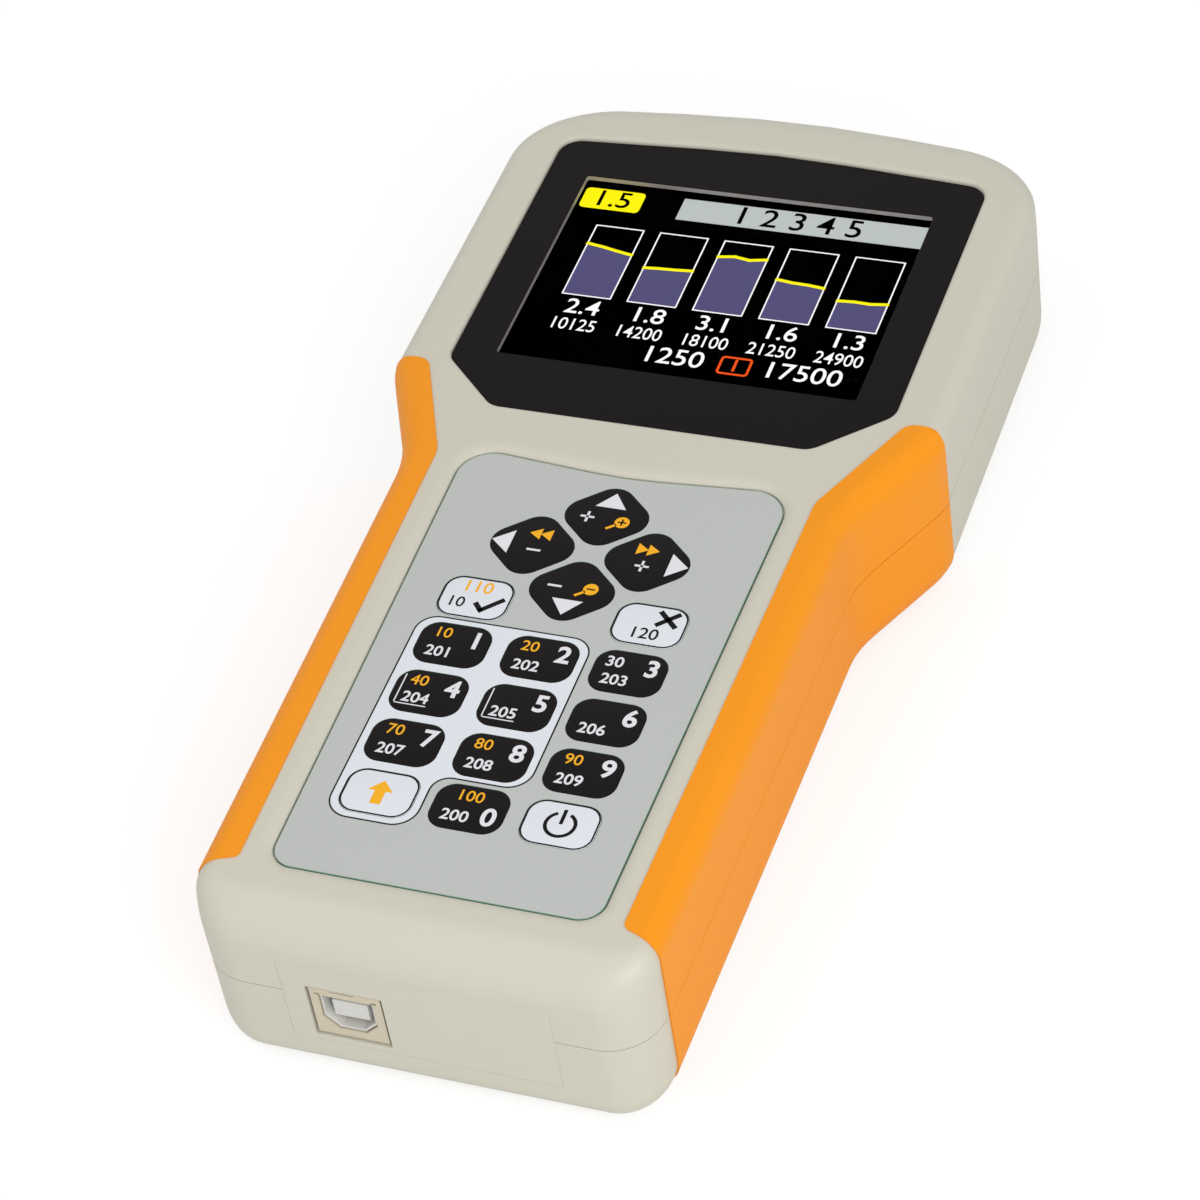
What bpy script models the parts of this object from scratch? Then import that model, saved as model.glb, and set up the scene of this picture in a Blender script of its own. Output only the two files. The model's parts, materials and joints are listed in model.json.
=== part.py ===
"""Hand-held antenna analyzer, built as an assembly of separate pieces.

Units are metres. X runs across the case, Y from the computer socket end to the
antenna socket end, and Z out of the keypad side. The unit lies on its back with
the rear face on z = 0. Places called share lie that share of the case's length
from its lower end face, and the ones called from_end that distance.
"""

import math

import bmesh
import bpy

# Case
case_length = 0.2070
case_thickness = 0.0345
head_half_width = 0.0498
waist_half_width = 0.0395
foot_half_width = 0.0376
waist_share = 0.4990
shoulder_share = 0.6034
foot_corner_radius = 0.0088
waist_blend_radius = 0.0220
shoulder_blend_radius = 0.0150
head_corner_radius_share = 0.4016
head_arch_radius = 0.2000
head_arch_angle = math.radians(6.0)
wall = 0.0026
front_end_radius = 0.0080
front_side_radius = 0.0034
rear_side_inset = 0.0054
rear_side_rise = 0.0070
rear_end_radius = 0.0050
seam_height = 0.0186
seam_gap = 0.0003

# Clearances and tool overruns
seat_gap = 0.0002
slide_gap = 0.0002
panel_gap = 0.0003
overrun = 0.0010

# Side grips
grip_depth = 0.0012
grip_proud = 0.0003
grip_foot_share = 0.0560
grip_foot_slant = 0.0078
grip_inner_foot_inset = 0.0060
grip_inner_waist_inset = 0.0059
grip_bend_share = 0.5082
grip_tip_share = 0.6126
grip_tip_inner_inset = 0.0064
grip_tip_width = 0.0050
grip_side_share = 0.6034
grip_corner_radius = 0.0013
grip_tip_radius = 0.0028
grip_bend_radius = 0.0060
grip_rear_shift = 0.0045

# Display
bezel_half_width_share = 0.8112
bezel_bottom_share = 0.5710
bezel_chamfer_half_width_share = 0.5743
bezel_chamfer_share = 0.6232
bezel_top_share = 0.9343
bezel_arch_angle = math.radians(4.0)
bezel_corner_radius = 0.0040
bezel_thickness = 0.0010
bezel_sink = 0.0008
lip_width = 0.0008
screen_share = 0.7565
screen_width_share = 1.3012
screen_height_share = 0.2348
screen_margin = 0.0004
screen_corner_radius = 0.0006
window_width_share = 1.3855
window_height_share = 0.2560
window_thickness = 0.0007
window_corner_radius = 0.0010
panel_width_share = 1.4457
panel_height_share = 0.2638
panel_thickness = 0.0014
tray_wall = 0.0008
tray_depth = 0.0044
tray_leg_length = 0.0060
tray_leg_width = 0.0012

# Keypad
key_row_share = 0.2493
key_pitch_x = 0.0151
key_pitch_y_share = 0.0531
key_width = 0.0121
key_height_share = 0.0440
key_corner_radius = 0.0030
key_flange_margin = 0.0006
key_flange_thickness = 0.0008
key_plunger_radius = 0.0020
key_plunger_length = 0.0009
key_proud = 0.00015
key_travel = 0.00035
confirm_row_offset_share = 0.1058
cross_offset_share = 0.1725
cross_pitch_x = 0.0101
cross_pitch_y_share = 0.0430
diamond_half_width = 0.0091
diamond_half_height_share = 0.0386
diamond_corner_radius = 0.0037
diamond_flange_margin = 0.0004
foil_thickness = 0.0005
foil_sink = 0.0009
foil_foot_half_width_inset = 0.0104
foil_head_half_width_inset = 0.0105
foil_foot_share = 0.0589
foil_head_share = 0.5208
foil_head_dip = 0.0024
foil_foot_radius = 0.0040
foil_head_radius = 0.0060
foil_dip_radius = 0.0700
dome_clearance = 0.00035
keypad_board_thickness = 0.0012
keypad_board_half_width_inset = 0.0106
keypad_board_foot_share = 0.0821
keypad_board_head_share = 0.5024
peg_radius = 0.0012
peg_inset = 0.0025

# Main board and what it carries
board_thickness = 0.0016
board_foot_share = 0.0222
board_foot_half_width_inset = 0.0146
board_step_share = 0.0899
board_waist_half_width_inset = 0.0075
board_waist_share = 0.4976
board_head_half_width_share = 0.9036
board_head_share = 0.6232
board_shoulder_share = 0.8647
board_neck_half_width_share = 0.6827
board_neck_share = 0.8841
board_corner_radius = 0.0015
post_radius = 0.0030
post_foot_x_inset = 0.0106
post_foot_share = 0.1449
post_head_x_share = 0.8233
post_head_share = 0.5990
board_screw_shank_radius = 0.00105
board_screw_shank_length = 0.0060
board_screw_head_radius = 0.0022
board_screw_head_height = 0.0015
header_width = 0.0200
header_depth = 0.0050
keypad_header_share = 0.4783
display_header_share = 0.6763
chip_size = 0.0140
chip_thickness = 0.0016
chip_share = 0.2415
buzzer_radius = 0.0060
buzzer_height = 0.0050
buzzer_x = 0.0180
buzzer_share = 0.3382
shield_width = 0.0400
shield_length = 0.0320
shield_height = 0.0055
shield_clearance = 0.0040

# Computer socket and lower end panel
usb_width = 0.0120
usb_height = 0.0107
usb_length = 0.0160
usb_x = -0.0121
usb_top_height = 0.0201
usb_sink = 0.0003
usb_mouth_width = 0.0085
usb_mouth_height = 0.0078
usb_mouth_bevel = 0.0020
usb_mouth_depth = 0.0095
usb_tongue_width = 0.0056
usb_tongue_height = 0.0032
usb_tongue_sink = 0.0010
usb_base_thickness = 0.0015
usb_window_margin = 0.0006
end_panel_half_width = 0.0225
end_panel_low = 0.0076
end_panel_high = 0.0256
end_panel_flange_margin = 0.0012
end_panel_flange_thickness = 0.0012

# Antenna socket in its pocket at the head
socket_reach = 0.0060
socket_height = 0.01725
socket_thread_radius = 0.00795
socket_bore_radius = 0.0063
socket_sink = 0.0090
socket_flange_size = 0.0254
socket_flange_thickness = 0.0030
socket_hole_pitch = 0.0182
socket_thread_depth = 0.0005
socket_thread_turns = 6
insulator_sink = 0.0015
insulator_tail = 0.0030
contact_outer_radius = 0.0024
contact_bore_radius = 0.0020
contact_bore_depth = 0.0120
contact_sink = 0.0018
contact_tail = 0.0070
pocket_half_width = 0.0140
pocket_height = 0.0255
pocket_wall = 0.0012
pocket_corner_radius = 0.0020
pocket_screw_shank_radius = 0.00140
pocket_screw_shank_length = 0.0068
pocket_screw_head_radius = 0.0026
pocket_screw_head_height = 0.0018

# Batteries and their cover
cell_radius = 0.00725
cell_length = 0.0492
cell_nub_radius = 0.0028
cell_nub_length = 0.0012
cell_half_pitch = 0.0079
bay_half_width = 0.0163
bay_foot_from_end = 0.0220
bay_head_from_end = 0.0780
bay_wall = 0.0012
bay_roof_height = 0.0174
cover_thickness = 0.0012
cover_ledge = 0.0017
cover_tab_width = 0.0060
cover_tab_reach = 0.0025
cover_tab_thickness = 0.0010
cover_tab_half_pitch = 0.0095
cover_notch_radius = 0.0070
cover_notch_depth = 0.0009
contact_plate_thickness = 0.0005
contact_plate_half_width = 0.0150
contact_plate_height = 0.0100
contact_leaf_width = 0.0060
contact_leaf_height = 0.0050

# Case screws
boss_radius = 0.0042
boss_foot_x_inset = 0.0091
boss_foot_share = 0.0560
boss_head_x_share = 0.8133
boss_head_share = 0.9106
case_screw_head_radius = 0.00275
case_screw_head_height = 0.0020
case_screw_shank_radius = 0.00145
case_screw_shank_length = 0.0140
case_screw_seat = 0.0100
screw_recess_radius = 0.0013
screw_recess_depth = 0.0010
screw_recess_sides = 6
screw_hole_clearance = 0.00015
counterbore_clearance = 0.0003

# Facets
case_arc_step = math.radians(18.0)
small_arc_step = math.radians(45.0)
edge_steps = 4
smooth_below_angle = math.radians(35.0)
round_sides = 24
small_round_sides = 12

# Places worked out from the sizes above
overall_length = case_length + socket_reach
lower_end = -overall_length / 2
upper_end = lower_end + case_length
screen_height = case_length * screen_height_share
window_height = case_length * window_height_share
panel_height = case_length * panel_height_share
key_pitch_y = case_length * key_pitch_y_share
key_height = case_length * key_height_share
confirm_row_offset = case_length * confirm_row_offset_share
cross_offset = case_length * cross_offset_share
cross_pitch_y = case_length * cross_pitch_y_share
diamond_half_height = case_length * diamond_half_height_share
head_corner_radius = head_half_width * head_corner_radius_share
bezel_half_width = head_half_width * bezel_half_width_share
bezel_chamfer_half_width = head_half_width * bezel_chamfer_half_width_share
screen_width = head_half_width * screen_width_share
window_width = head_half_width * window_width_share
panel_width = head_half_width * panel_width_share
board_head_half_width = head_half_width * board_head_half_width_share
board_neck_half_width = head_half_width * board_neck_half_width_share
post_head_x = head_half_width * post_head_x_share
boss_head_x = head_half_width * boss_head_x_share
grip_tip_inner = head_half_width - grip_tip_inner_inset
grip_inner_waist = waist_half_width - grip_inner_waist_inset
board_waist_half_width = waist_half_width - board_waist_half_width_inset
foil_head_half_width = waist_half_width - foil_head_half_width_inset
grip_inner_foot = foot_half_width - grip_inner_foot_inset
foil_foot_half_width = foot_half_width - foil_foot_half_width_inset
keypad_board_half_width = foot_half_width - keypad_board_half_width_inset
post_foot_x = foot_half_width - post_foot_x_inset
boss_foot_x = foot_half_width - boss_foot_x_inset
board_foot_half_width = foot_half_width - board_foot_half_width_inset
inner_front = case_thickness - wall
foil_top = case_thickness - foil_sink
foil_bottom = foil_top - foil_thickness
bezel_top = case_thickness - bezel_sink
bezel_bottom = bezel_top - bezel_thickness
board_bottom = usb_top_height + seat_gap
board_top = board_bottom + board_thickness
flange_top = inner_front - panel_gap
flange_bottom = flange_top - key_flange_thickness
plunger_bottom = flange_bottom - key_plunger_length
keypad_board_top = plunger_bottom - key_travel - dome_clearance
keypad_board_bottom = keypad_board_top - keypad_board_thickness
window_top = bezel_bottom - seat_gap
window_bottom = window_top - window_thickness
lcd_top = window_bottom - panel_gap
lcd_bottom = lcd_top - panel_thickness
tray_bottom = lcd_top - tray_depth
socket_face = upper_end - socket_sink


def along(share):
    """Place on the Y axis at a share of the case's length from its lower end."""
    return lower_end + case_length * share


screen_y = along(screen_share)
key_five_y = along(key_row_share)


def remove_old_objects():
    for old in list(bpy.data.objects):
        bpy.data.objects.remove(old, do_unlink=True)


def plain_material(name, colour, roughness, metallic=0.0, transmission=0.0):
    made = bpy.data.materials.new(name)
    made.use_nodes = True
    shader = made.node_tree.nodes["Principled BSDF"]
    shader.inputs["Base Color"].default_value = (*colour, 1.0)
    shader.inputs["Roughness"].default_value = roughness
    shader.inputs["Metallic"].default_value = metallic
    shader.inputs["Transmission Weight"].default_value = transmission
    made.diffuse_color = (*colour, 1.0)
    return made


def object_from(mesh_builder, name):
    """Turn a bmesh into an object, with its normals facing out."""
    bmesh.ops.recalc_face_normals(mesh_builder, faces=mesh_builder.faces[:])
    mesh = bpy.data.meshes.new(name)
    mesh_builder.to_mesh(mesh)
    mesh_builder.free()
    made = bpy.data.objects.new(name, mesh)
    bpy.context.scene.collection.objects.link(made)
    return made


def finish(made, paint):
    made.data.materials.clear()
    made.data.materials.append(paint)
    made.data.shade_smooth()
    made.data.set_sharp_from_angle(angle=smooth_below_angle)
    return made


def combine(target, tool, operation):
    """Apply a Boolean to target and remove the tool."""
    step = target.modifiers.new("cut", "BOOLEAN")
    step.operation = operation
    step.solver = "EXACT"
    step.object = tool
    graph = bpy.context.evaluated_depsgraph_get()
    result = bpy.data.meshes.new_from_object(target.evaluated_get(graph), depsgraph=graph)
    target.modifiers.remove(step)
    old = target.data
    target.data = result
    bpy.data.meshes.remove(old)
    bpy.data.objects.remove(tool, do_unlink=True)
    return target


def cut(target, tool):
    return combine(target, tool, "DIFFERENCE")


def join(target, tool):
    return combine(target, tool, "UNION")


def keep_inside(target, tool):
    return combine(target, tool, "INTERSECT")


def rounded_outline(corners, arc_step):
    """Outline with rounded corners from (x, y, radius), counter-clockwise.

    Each returned point is (x, y, normal_x, normal_y), the normal facing out.
    """
    outline = []
    count = len(corners)
    for index, (x, y, radius) in enumerate(corners):
        before = corners[index - 1]
        after = corners[(index + 1) % count]
        heading_in = math.atan2(y - before[1], x - before[0])
        heading_out = math.atan2(after[1] - y, after[0] - x)
        turn = (heading_out - heading_in + math.pi) % math.tau - math.pi
        tangent = radius * math.tan(abs(turn) / 2)
        side = math.copysign(radius, turn)
        start_normal = heading_in - math.pi / 2
        centre_x = x - tangent * math.cos(heading_in) - side * math.cos(start_normal)
        centre_y = y - tangent * math.sin(heading_in) - side * math.sin(start_normal)
        steps = max(2, math.ceil(abs(turn) / arc_step))
        for step in range(steps + 1):
            angle = start_normal + turn * step / steps
            normal = (math.cos(angle), math.sin(angle))
            outline.append((centre_x + side * normal[0], centre_y + side * normal[1], *normal))
    return outline


def mirrored(right_side):
    """Close a right-hand run of corners with its mirror image."""
    left_side = [(-x, y, radius) for x, y, radius in reversed(right_side) if x > 0]
    return right_side + left_side


def grown(outline, margin):
    return [(x + nx * margin, y + ny * margin, nx, ny) for x, y, nx, ny in outline]


def shifted(outline, shift_x, shift_y):
    return [(x + shift_x, y + shift_y, nx, ny) for x, y, nx, ny in outline]


def flipped(outline):
    return [(-x, y, -nx, ny) for x, y, nx, ny in reversed(outline)]


def ring_at(outline, height, inset_x, inset_y):
    return [(x - nx * inset_x, y - ny * inset_y, height) for x, y, nx, ny in outline]


def fill_between(builder, lower, upper):
    count = len(lower)
    for index in range(count):
        following = (index + 1) % count
        builder.faces.new((lower[index], lower[following], upper[following], upper[index]))


def loft(name, rings):
    """Closed solid through rings of equal point count, flat at both ends."""
    builder = bmesh.new()
    rows = [[builder.verts.new(point) for point in ring] for ring in rings]
    for lower, upper in zip(rows, rows[1:]):
        fill_between(builder, lower, upper)
    builder.faces.new(rows[0])
    builder.faces.new(rows[-1])
    return object_from(builder, name)


def prism(name, outline, low, high):
    return loft(name, [ring_at(outline, low, 0, 0), ring_at(outline, high, 0, 0)])


def sloped_prism(name, outline, levels):
    """Solid through (height, outward margin) levels of one outline."""
    return loft(name, [ring_at(outline, height, -margin, -margin) for height, margin in levels])


def box(name, x_range, y_range, z_range):
    outline = [
        (x_range[0], y_range[0], 0, 0),
        (x_range[1], y_range[0], 0, 0),
        (x_range[1], y_range[1], 0, 0),
        (x_range[0], y_range[1], 0, 0),
    ]
    return prism(name, outline, *z_range)


def rounded_rectangle(width, height, radius, arc_step=small_arc_step):
    half_x = width / 2
    half_y = height / 2
    right_side = [(half_x, -half_y, radius), (half_x, half_y, radius)]
    return rounded_outline(mirrored(right_side), arc_step)


def turned(name, profile, centre, axis, sides=round_sides):
    """Solid of revolution through (distance along axis, radius) pairs.

    The axis is "Y" or "Z" and the profile runs along it from the centre. A
    radius of zero at either end closes the solid to a point on the axis.
    """
    builder = bmesh.new()
    rows = []
    for distance, radius in profile:
        row = []
        for index in range(sides):
            angle = math.tau * (index + 0.5) / sides
            across = radius * math.cos(angle)
            up = radius * math.sin(angle)
            offset = (across, distance, up) if axis == "Y" else (across, up, distance)
            row.append(builder.verts.new([c + o for c, o in zip(centre, offset)]))
        rows.append(row)
    for lower, upper in zip(rows, rows[1:]):
        fill_between(builder, lower, upper)
    builder.faces.new(rows[0])
    builder.faces.new(rows[-1])
    return object_from(builder, name)


def cylinder(name, centre, radius, low, high, axis="Z", sides=round_sides):
    return turned(name, [(low, radius), (high, radius)], centre, axis, sides)


def case_outline():
    apex = upper_end + head_arch_radius * (1 / math.cos(head_arch_angle) - 1)
    head_corner = apex - head_half_width * math.tan(head_arch_angle)
    right_side = [
        (foot_half_width, lower_end, foot_corner_radius),
        (waist_half_width, along(waist_share), waist_blend_radius),
        (head_half_width, along(shoulder_share), shoulder_blend_radius),
        (head_half_width, head_corner, head_corner_radius),
        (0, apex, head_arch_radius),
    ]
    return rounded_outline(mirrored(right_side), case_arc_step)


def front_inset(radius, height, depth):
    """Inset of a front edge of one radius at a height."""
    rise = height - case_thickness + radius
    if rise <= 0:
        return depth
    reach = radius - depth
    return radius - math.sqrt(max(reach * reach - rise * rise, 0))


def front_rings(depth, low):
    """Rings of the front half at a depth below its outer surface, from low up."""
    outline = case_outline()
    rings = [ring_at(outline, low, depth, depth)]
    start = case_thickness - front_end_radius
    for step in range(edge_steps + 1):
        share = math.sin(math.pi / 2 * step / edge_steps)
        height = start + (front_end_radius - depth) * share
        rings.append(ring_at(outline, height, front_inset(front_side_radius, height, depth),
                             front_inset(front_end_radius, height, depth)))
    return rings


def rear_end_inset(height, depth):
    """Inset of the end faces at a height above the rear face."""
    radius = rear_end_radius - depth
    drop = rear_end_radius - height
    if drop <= 0:
        return depth
    return rear_end_radius - math.sqrt(max(radius * radius - drop * drop, 0))


def rear_rings(depth, high):
    """Rings of the rear half at a depth below its outer surface, from the rear up."""
    outline = case_outline()
    rings = []
    steps = edge_steps + 2
    for step in range(steps + 1):
        angle = math.pi / 2 * (1 - step / steps)
        inset = rear_side_inset - (rear_side_inset - depth) * math.cos(angle)
        height = rear_side_rise - (rear_side_rise - depth) * math.sin(angle)
        rings.append(ring_at(outline, height, inset, rear_end_inset(height, depth)))
    rings.append(ring_at(outline, high, depth, depth))
    return rings


def cup(name, outer, inner):
    """Open shell between outer and inner rings, both starting at the rim."""
    builder = bmesh.new()
    outer_rows = [[builder.verts.new(point) for point in ring] for ring in outer]
    inner_rows = [[builder.verts.new(point) for point in ring] for ring in inner]
    for rows in (outer_rows, inner_rows):
        for lower, upper in zip(rows, rows[1:]):
            fill_between(builder, lower, upper)
        builder.faces.new(rows[-1])
    fill_between(builder, outer_rows[0], inner_rows[0])
    return object_from(builder, name)


def grip_outline(inward_shift, margin):
    """Plan of the right-hand grip, running well outside the case.

    Shifted inward, it ends on the same two lines as the grip that isn't.
    """
    outside = head_half_width + wall
    foot = along(grip_foot_share)
    foot_drop = grip_foot_slant * inward_shift / (outside - grip_inner_foot)
    side, tip = along(grip_side_share), along(grip_tip_share)
    tip_end = grip_tip_inner + grip_tip_width
    if inward_shift:
        slope = (tip - side) / (outside - tip_end)
        tip_x = grip_tip_inner + inward_shift
        tip_corners = [(tip_x, tip + slope * (tip_end - tip_x), grip_corner_radius)]
    else:
        tip_corners = [(tip_end, tip, grip_corner_radius), (grip_tip_inner, tip, grip_tip_radius)]
    corners = [
        (grip_inner_foot + inward_shift, foot - foot_drop, grip_corner_radius),
        (outside, foot - grip_foot_slant, 0),
        (outside, side, 0),
        *tip_corners,
        (grip_inner_waist + inward_shift, along(grip_bend_share), grip_bend_radius),
    ]
    return grown(rounded_outline(corners, small_arc_step), margin)


def grip_half(name, on_front, outline, outer_depth, inner_depth, overlap):
    """Skin between two depths of one case half, within a plan outline."""
    if on_front:
        low = seam_height + seam_gap / 2 - overlap
        skin = loft(name, front_rings(outer_depth, low))
        core = loft("core", front_rings(inner_depth, low - overrun))
    else:
        high = seam_height - seam_gap / 2 + overlap
        skin = loft(name, rear_rings(outer_depth, high))
        core = loft("core", rear_rings(inner_depth, high + overrun))
    region = prism("region", outline, -overrun, case_thickness + overrun)
    keep_inside(skin, region)
    return cut(skin, core)


def make_grips(paint):
    for end, on_front in (("front", True), ("rear", False)):
        shift = 0 if on_front else grip_rear_shift
        right = grip_outline(shift, 0)
        for side, outline in (("right", right), ("left", flipped(right))):
            name = "grip_" + end + "_" + side
            finish(grip_half(name, on_front, outline, -grip_proud, grip_depth, 0), paint)


def rebate_for_grips(shell, on_front):
    shift = 0 if on_front else grip_rear_shift
    right = grip_outline(shift, slide_gap)
    for outline in (right, flipped(right)):
        groove = grip_half("groove", on_front, outline, -overrun, grip_depth + seat_gap, overrun)
        cut(shell, groove)


def bezel_outline():
    apex = along(bezel_top_share)
    corner = apex - bezel_half_width * math.tan(bezel_arch_angle)
    right_side = [
        (bezel_chamfer_half_width, along(bezel_bottom_share), bezel_corner_radius),
        (bezel_half_width, along(bezel_chamfer_share), bezel_corner_radius),
        (bezel_half_width, corner, bezel_corner_radius),
        (0, apex, head_arch_radius),
    ]
    return rounded_outline(mirrored(right_side), case_arc_step)


def foil_outline():
    head = along(foil_head_share)
    right_side = [
        (foil_foot_half_width, along(foil_foot_share), foil_foot_radius),
        (foil_head_half_width, head, foil_head_radius),
        (0, head - foil_head_dip, foil_dip_radius),
    ]
    return rounded_outline(mirrored(right_side), case_arc_step)


def screen_opening():
    width = screen_width + 2 * screen_margin
    height = screen_height + 2 * screen_margin
    return shifted(rounded_rectangle(width, height, screen_corner_radius), 0, screen_y)


def key_outline():
    return rounded_rectangle(key_width, key_height, key_corner_radius)


def diamond_outline():
    corners = [
        (0, -diamond_half_height, diamond_corner_radius),
        (diamond_half_width, 0, diamond_corner_radius),
        (0, diamond_half_height, diamond_corner_radius),
        (-diamond_half_width, 0, diamond_corner_radius),
    ]
    return rounded_outline(corners, small_arc_step)


def key_places():
    """Name, plan outline, flange margin and centre of each key."""
    places = []
    rows = (
        (("key_f", "key_0", "key_power"), -2 * key_pitch_y),
        (("key_7", "key_8", "key_9"), -key_pitch_y),
        (("key_4", "key_5", "key_6"), 0),
        (("key_1", "key_2", "key_3"), key_pitch_y),
        (("key_ok", None, "key_cancel"), confirm_row_offset),
    )
    for names, offset in rows:
        for column, name in enumerate(names):
            if name is not None:
                centre = ((column - 1) * key_pitch_x, key_five_y + offset)
                places.append((name, key_outline(), key_flange_margin, centre))
    cross = (
        ("key_up", 0, cross_pitch_y),
        ("key_down", 0, -cross_pitch_y),
        ("key_left", -cross_pitch_x, 0),
        ("key_right", cross_pitch_x, 0),
    )
    for name, x, y in cross:
        centre = (x, key_five_y + cross_offset + y)
        places.append((name, diamond_outline(), diamond_flange_margin, centre))
    return places


def cut_key_holes(target, low, high):
    for _, outline, _, (x, y) in key_places():
        cut(target, prism("hole", shifted(grown(outline, slide_gap), x, y), low, high))


def boss_places():
    foot = along(boss_foot_share)
    head = along(boss_head_share)
    return [(-boss_foot_x, foot), (boss_foot_x, foot), (-boss_head_x, head), (boss_head_x, head)]


def peg_places():
    x = keypad_board_half_width - peg_inset
    foot = along(keypad_board_foot_share) + peg_inset
    head = along(keypad_board_head_share) - peg_inset
    return [(-x, foot), (x, foot), (-x, head), (x, head)]


def cut_end_panel_opening(shell):
    outer = (lower_end - overrun, lower_end + wall + overrun)
    half = end_panel_half_width + slide_gap
    heights = (end_panel_low - slide_gap, end_panel_high + slide_gap)
    cut(shell, box("opening", (-half, half), outer, heights))


def cut_socket_pocket(shell):
    size = pocket_corner_radius + slide_gap
    width = 2 * (pocket_half_width + pocket_wall + slide_gap)
    height = pocket_height + 2 * (pocket_wall + slide_gap)
    y_range = (upper_end - 3 * wall, upper_end + overrun)
    cut(shell, end_prism("opening", width, height, size, y_range))


def end_prism(name, width, height, radius, y_range):
    """Rounded block whose outline stands upright, centred on the antenna socket."""
    outline = rounded_rectangle(width, height, radius)
    rings = [[(x, y, socket_height + z) for x, z, _, _ in outline] for y in y_range]
    return loft(name, rings)


def make_front_shell(paint):
    low = seam_height + seam_gap / 2
    shell = cup("front_shell", front_rings(0, low), front_rings(wall, low))
    for x, y in boss_places():
        join(shell, cylinder("boss", (x, y, 0), boss_radius, low, inner_front + overrun / 2))
    step = keypad_board_top + seat_gap
    for x, y in peg_places():
        peg = [(keypad_board_bottom - keypad_board_thickness, peg_radius), (step, peg_radius)]
        peg += [(step, 2 * peg_radius), (inner_front + overrun / 2, 2 * peg_radius)]
        join(shell, turned("peg", peg, (x, y, 0), "Z", small_round_sides))
    rebate_for_grips(shell, True)
    floor = bezel_bottom - seat_gap
    bed = grown(bezel_outline(), slide_gap)
    levels = [(floor, 0), (bezel_top - seat_gap, 0), (case_thickness + overrun, lip_width + overrun)]
    cut(shell, sloped_prism("bed", bed, levels))
    opening = rounded_rectangle(window_width, window_height, window_corner_radius)
    opening = shifted(grown(opening, slide_gap), 0, screen_y)
    cut(shell, prism("opening", opening, inner_front - overrun, floor + overrun))
    floor = foil_bottom - seat_gap
    bed = grown(foil_outline(), slide_gap)
    levels = [(floor, 0), (foil_top - seat_gap, 0), (case_thickness + overrun, lip_width + overrun)]
    cut(shell, sloped_prism("bed", bed, levels))
    cut_key_holes(shell, inner_front - overrun, floor + overrun)
    cut_end_panel_opening(shell)
    cut_socket_pocket(shell)
    pilot = case_screw_shank_radius + screw_hole_clearance
    depth = case_screw_seat + case_screw_shank_length + 2 * overrun
    for x, y in boss_places():
        cut(shell, cylinder("pilot", (x, y, 0), pilot, low - overrun, depth, sides=small_round_sides))
    return finish(shell, paint)


def bay_y_range():
    return (lower_end + bay_foot_from_end, lower_end + bay_head_from_end)


def make_rear_shell(paint):
    high = seam_height - seam_gap / 2
    outer = list(reversed(rear_rings(0, high)))
    inner = list(reversed(rear_rings(wall, high)))
    shell = cup("rear_shell", outer, inner)
    foot, head = bay_y_range()
    outside = bay_half_width + bay_wall
    roof = bay_roof_height + bay_wall
    join(shell, box("bay", (-outside, outside), (foot - bay_wall, head + bay_wall), (wall / 2, roof)))
    for x, y in boss_places():
        join(shell, cylinder("boss", (x, y, 0), boss_radius, wall / 2, high))
    for x, y in post_places():
        top = board_bottom - seat_gap
        join(shell, cylinder("post", (x, y, 0), post_radius, wall / 2, top))
    cut(shell, box("bay", (-bay_half_width, bay_half_width), (foot, head), (-overrun, bay_roof_height)))
    ledge = (-overrun, cover_thickness + seat_gap)
    cut(shell, box("ledge", cover_x_range(slide_gap), cover_y_range(slide_gap), ledge))
    for x in (-cover_tab_half_pitch, cover_tab_half_pitch):
        half = cover_tab_width / 2 + panel_gap
        slot = (wall, wall + 3 * panel_gap + 2 * cover_tab_thickness)
        cut(shell, box("slot", (x - half, x + half), (head - overrun, head + bay_wall + overrun), slot))
    notch = [(-overrun, cover_notch_radius), (cover_notch_depth, cover_notch_radius / 2)]
    cut(shell, turned("notch", notch, (0, cover_y_range(slide_gap)[0], 0), "Z"))
    rebate_for_grips(shell, False)
    cut_end_panel_opening(shell)
    cut_socket_pocket(shell)
    bore = case_screw_head_radius + counterbore_clearance
    hole = case_screw_shank_radius + screw_hole_clearance
    steps = ((bore, -overrun, case_screw_seat - seat_gap), (hole, case_screw_seat - overrun, high + overrun))
    for x, y in boss_places():
        for radius, start, end in steps:
            cut(shell, cylinder("bore", (x, y, 0), radius, start, end, sides=small_round_sides))
    pilot = board_screw_shank_radius + screw_hole_clearance
    bottom = board_top - board_screw_shank_length - overrun
    # Only the two posts near the head take screws
    for x, y in post_places()[2:]:
        cut(shell, cylinder("pilot", (x, y, 0), pilot, bottom, board_bottom, sides=small_round_sides))
    return finish(shell, paint)


def cover_x_range(margin):
    half = bay_half_width + cover_ledge + margin
    return (-half, half)


def cover_y_range(margin):
    foot, head = bay_y_range()
    return (foot - cover_ledge - margin, head)


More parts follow.
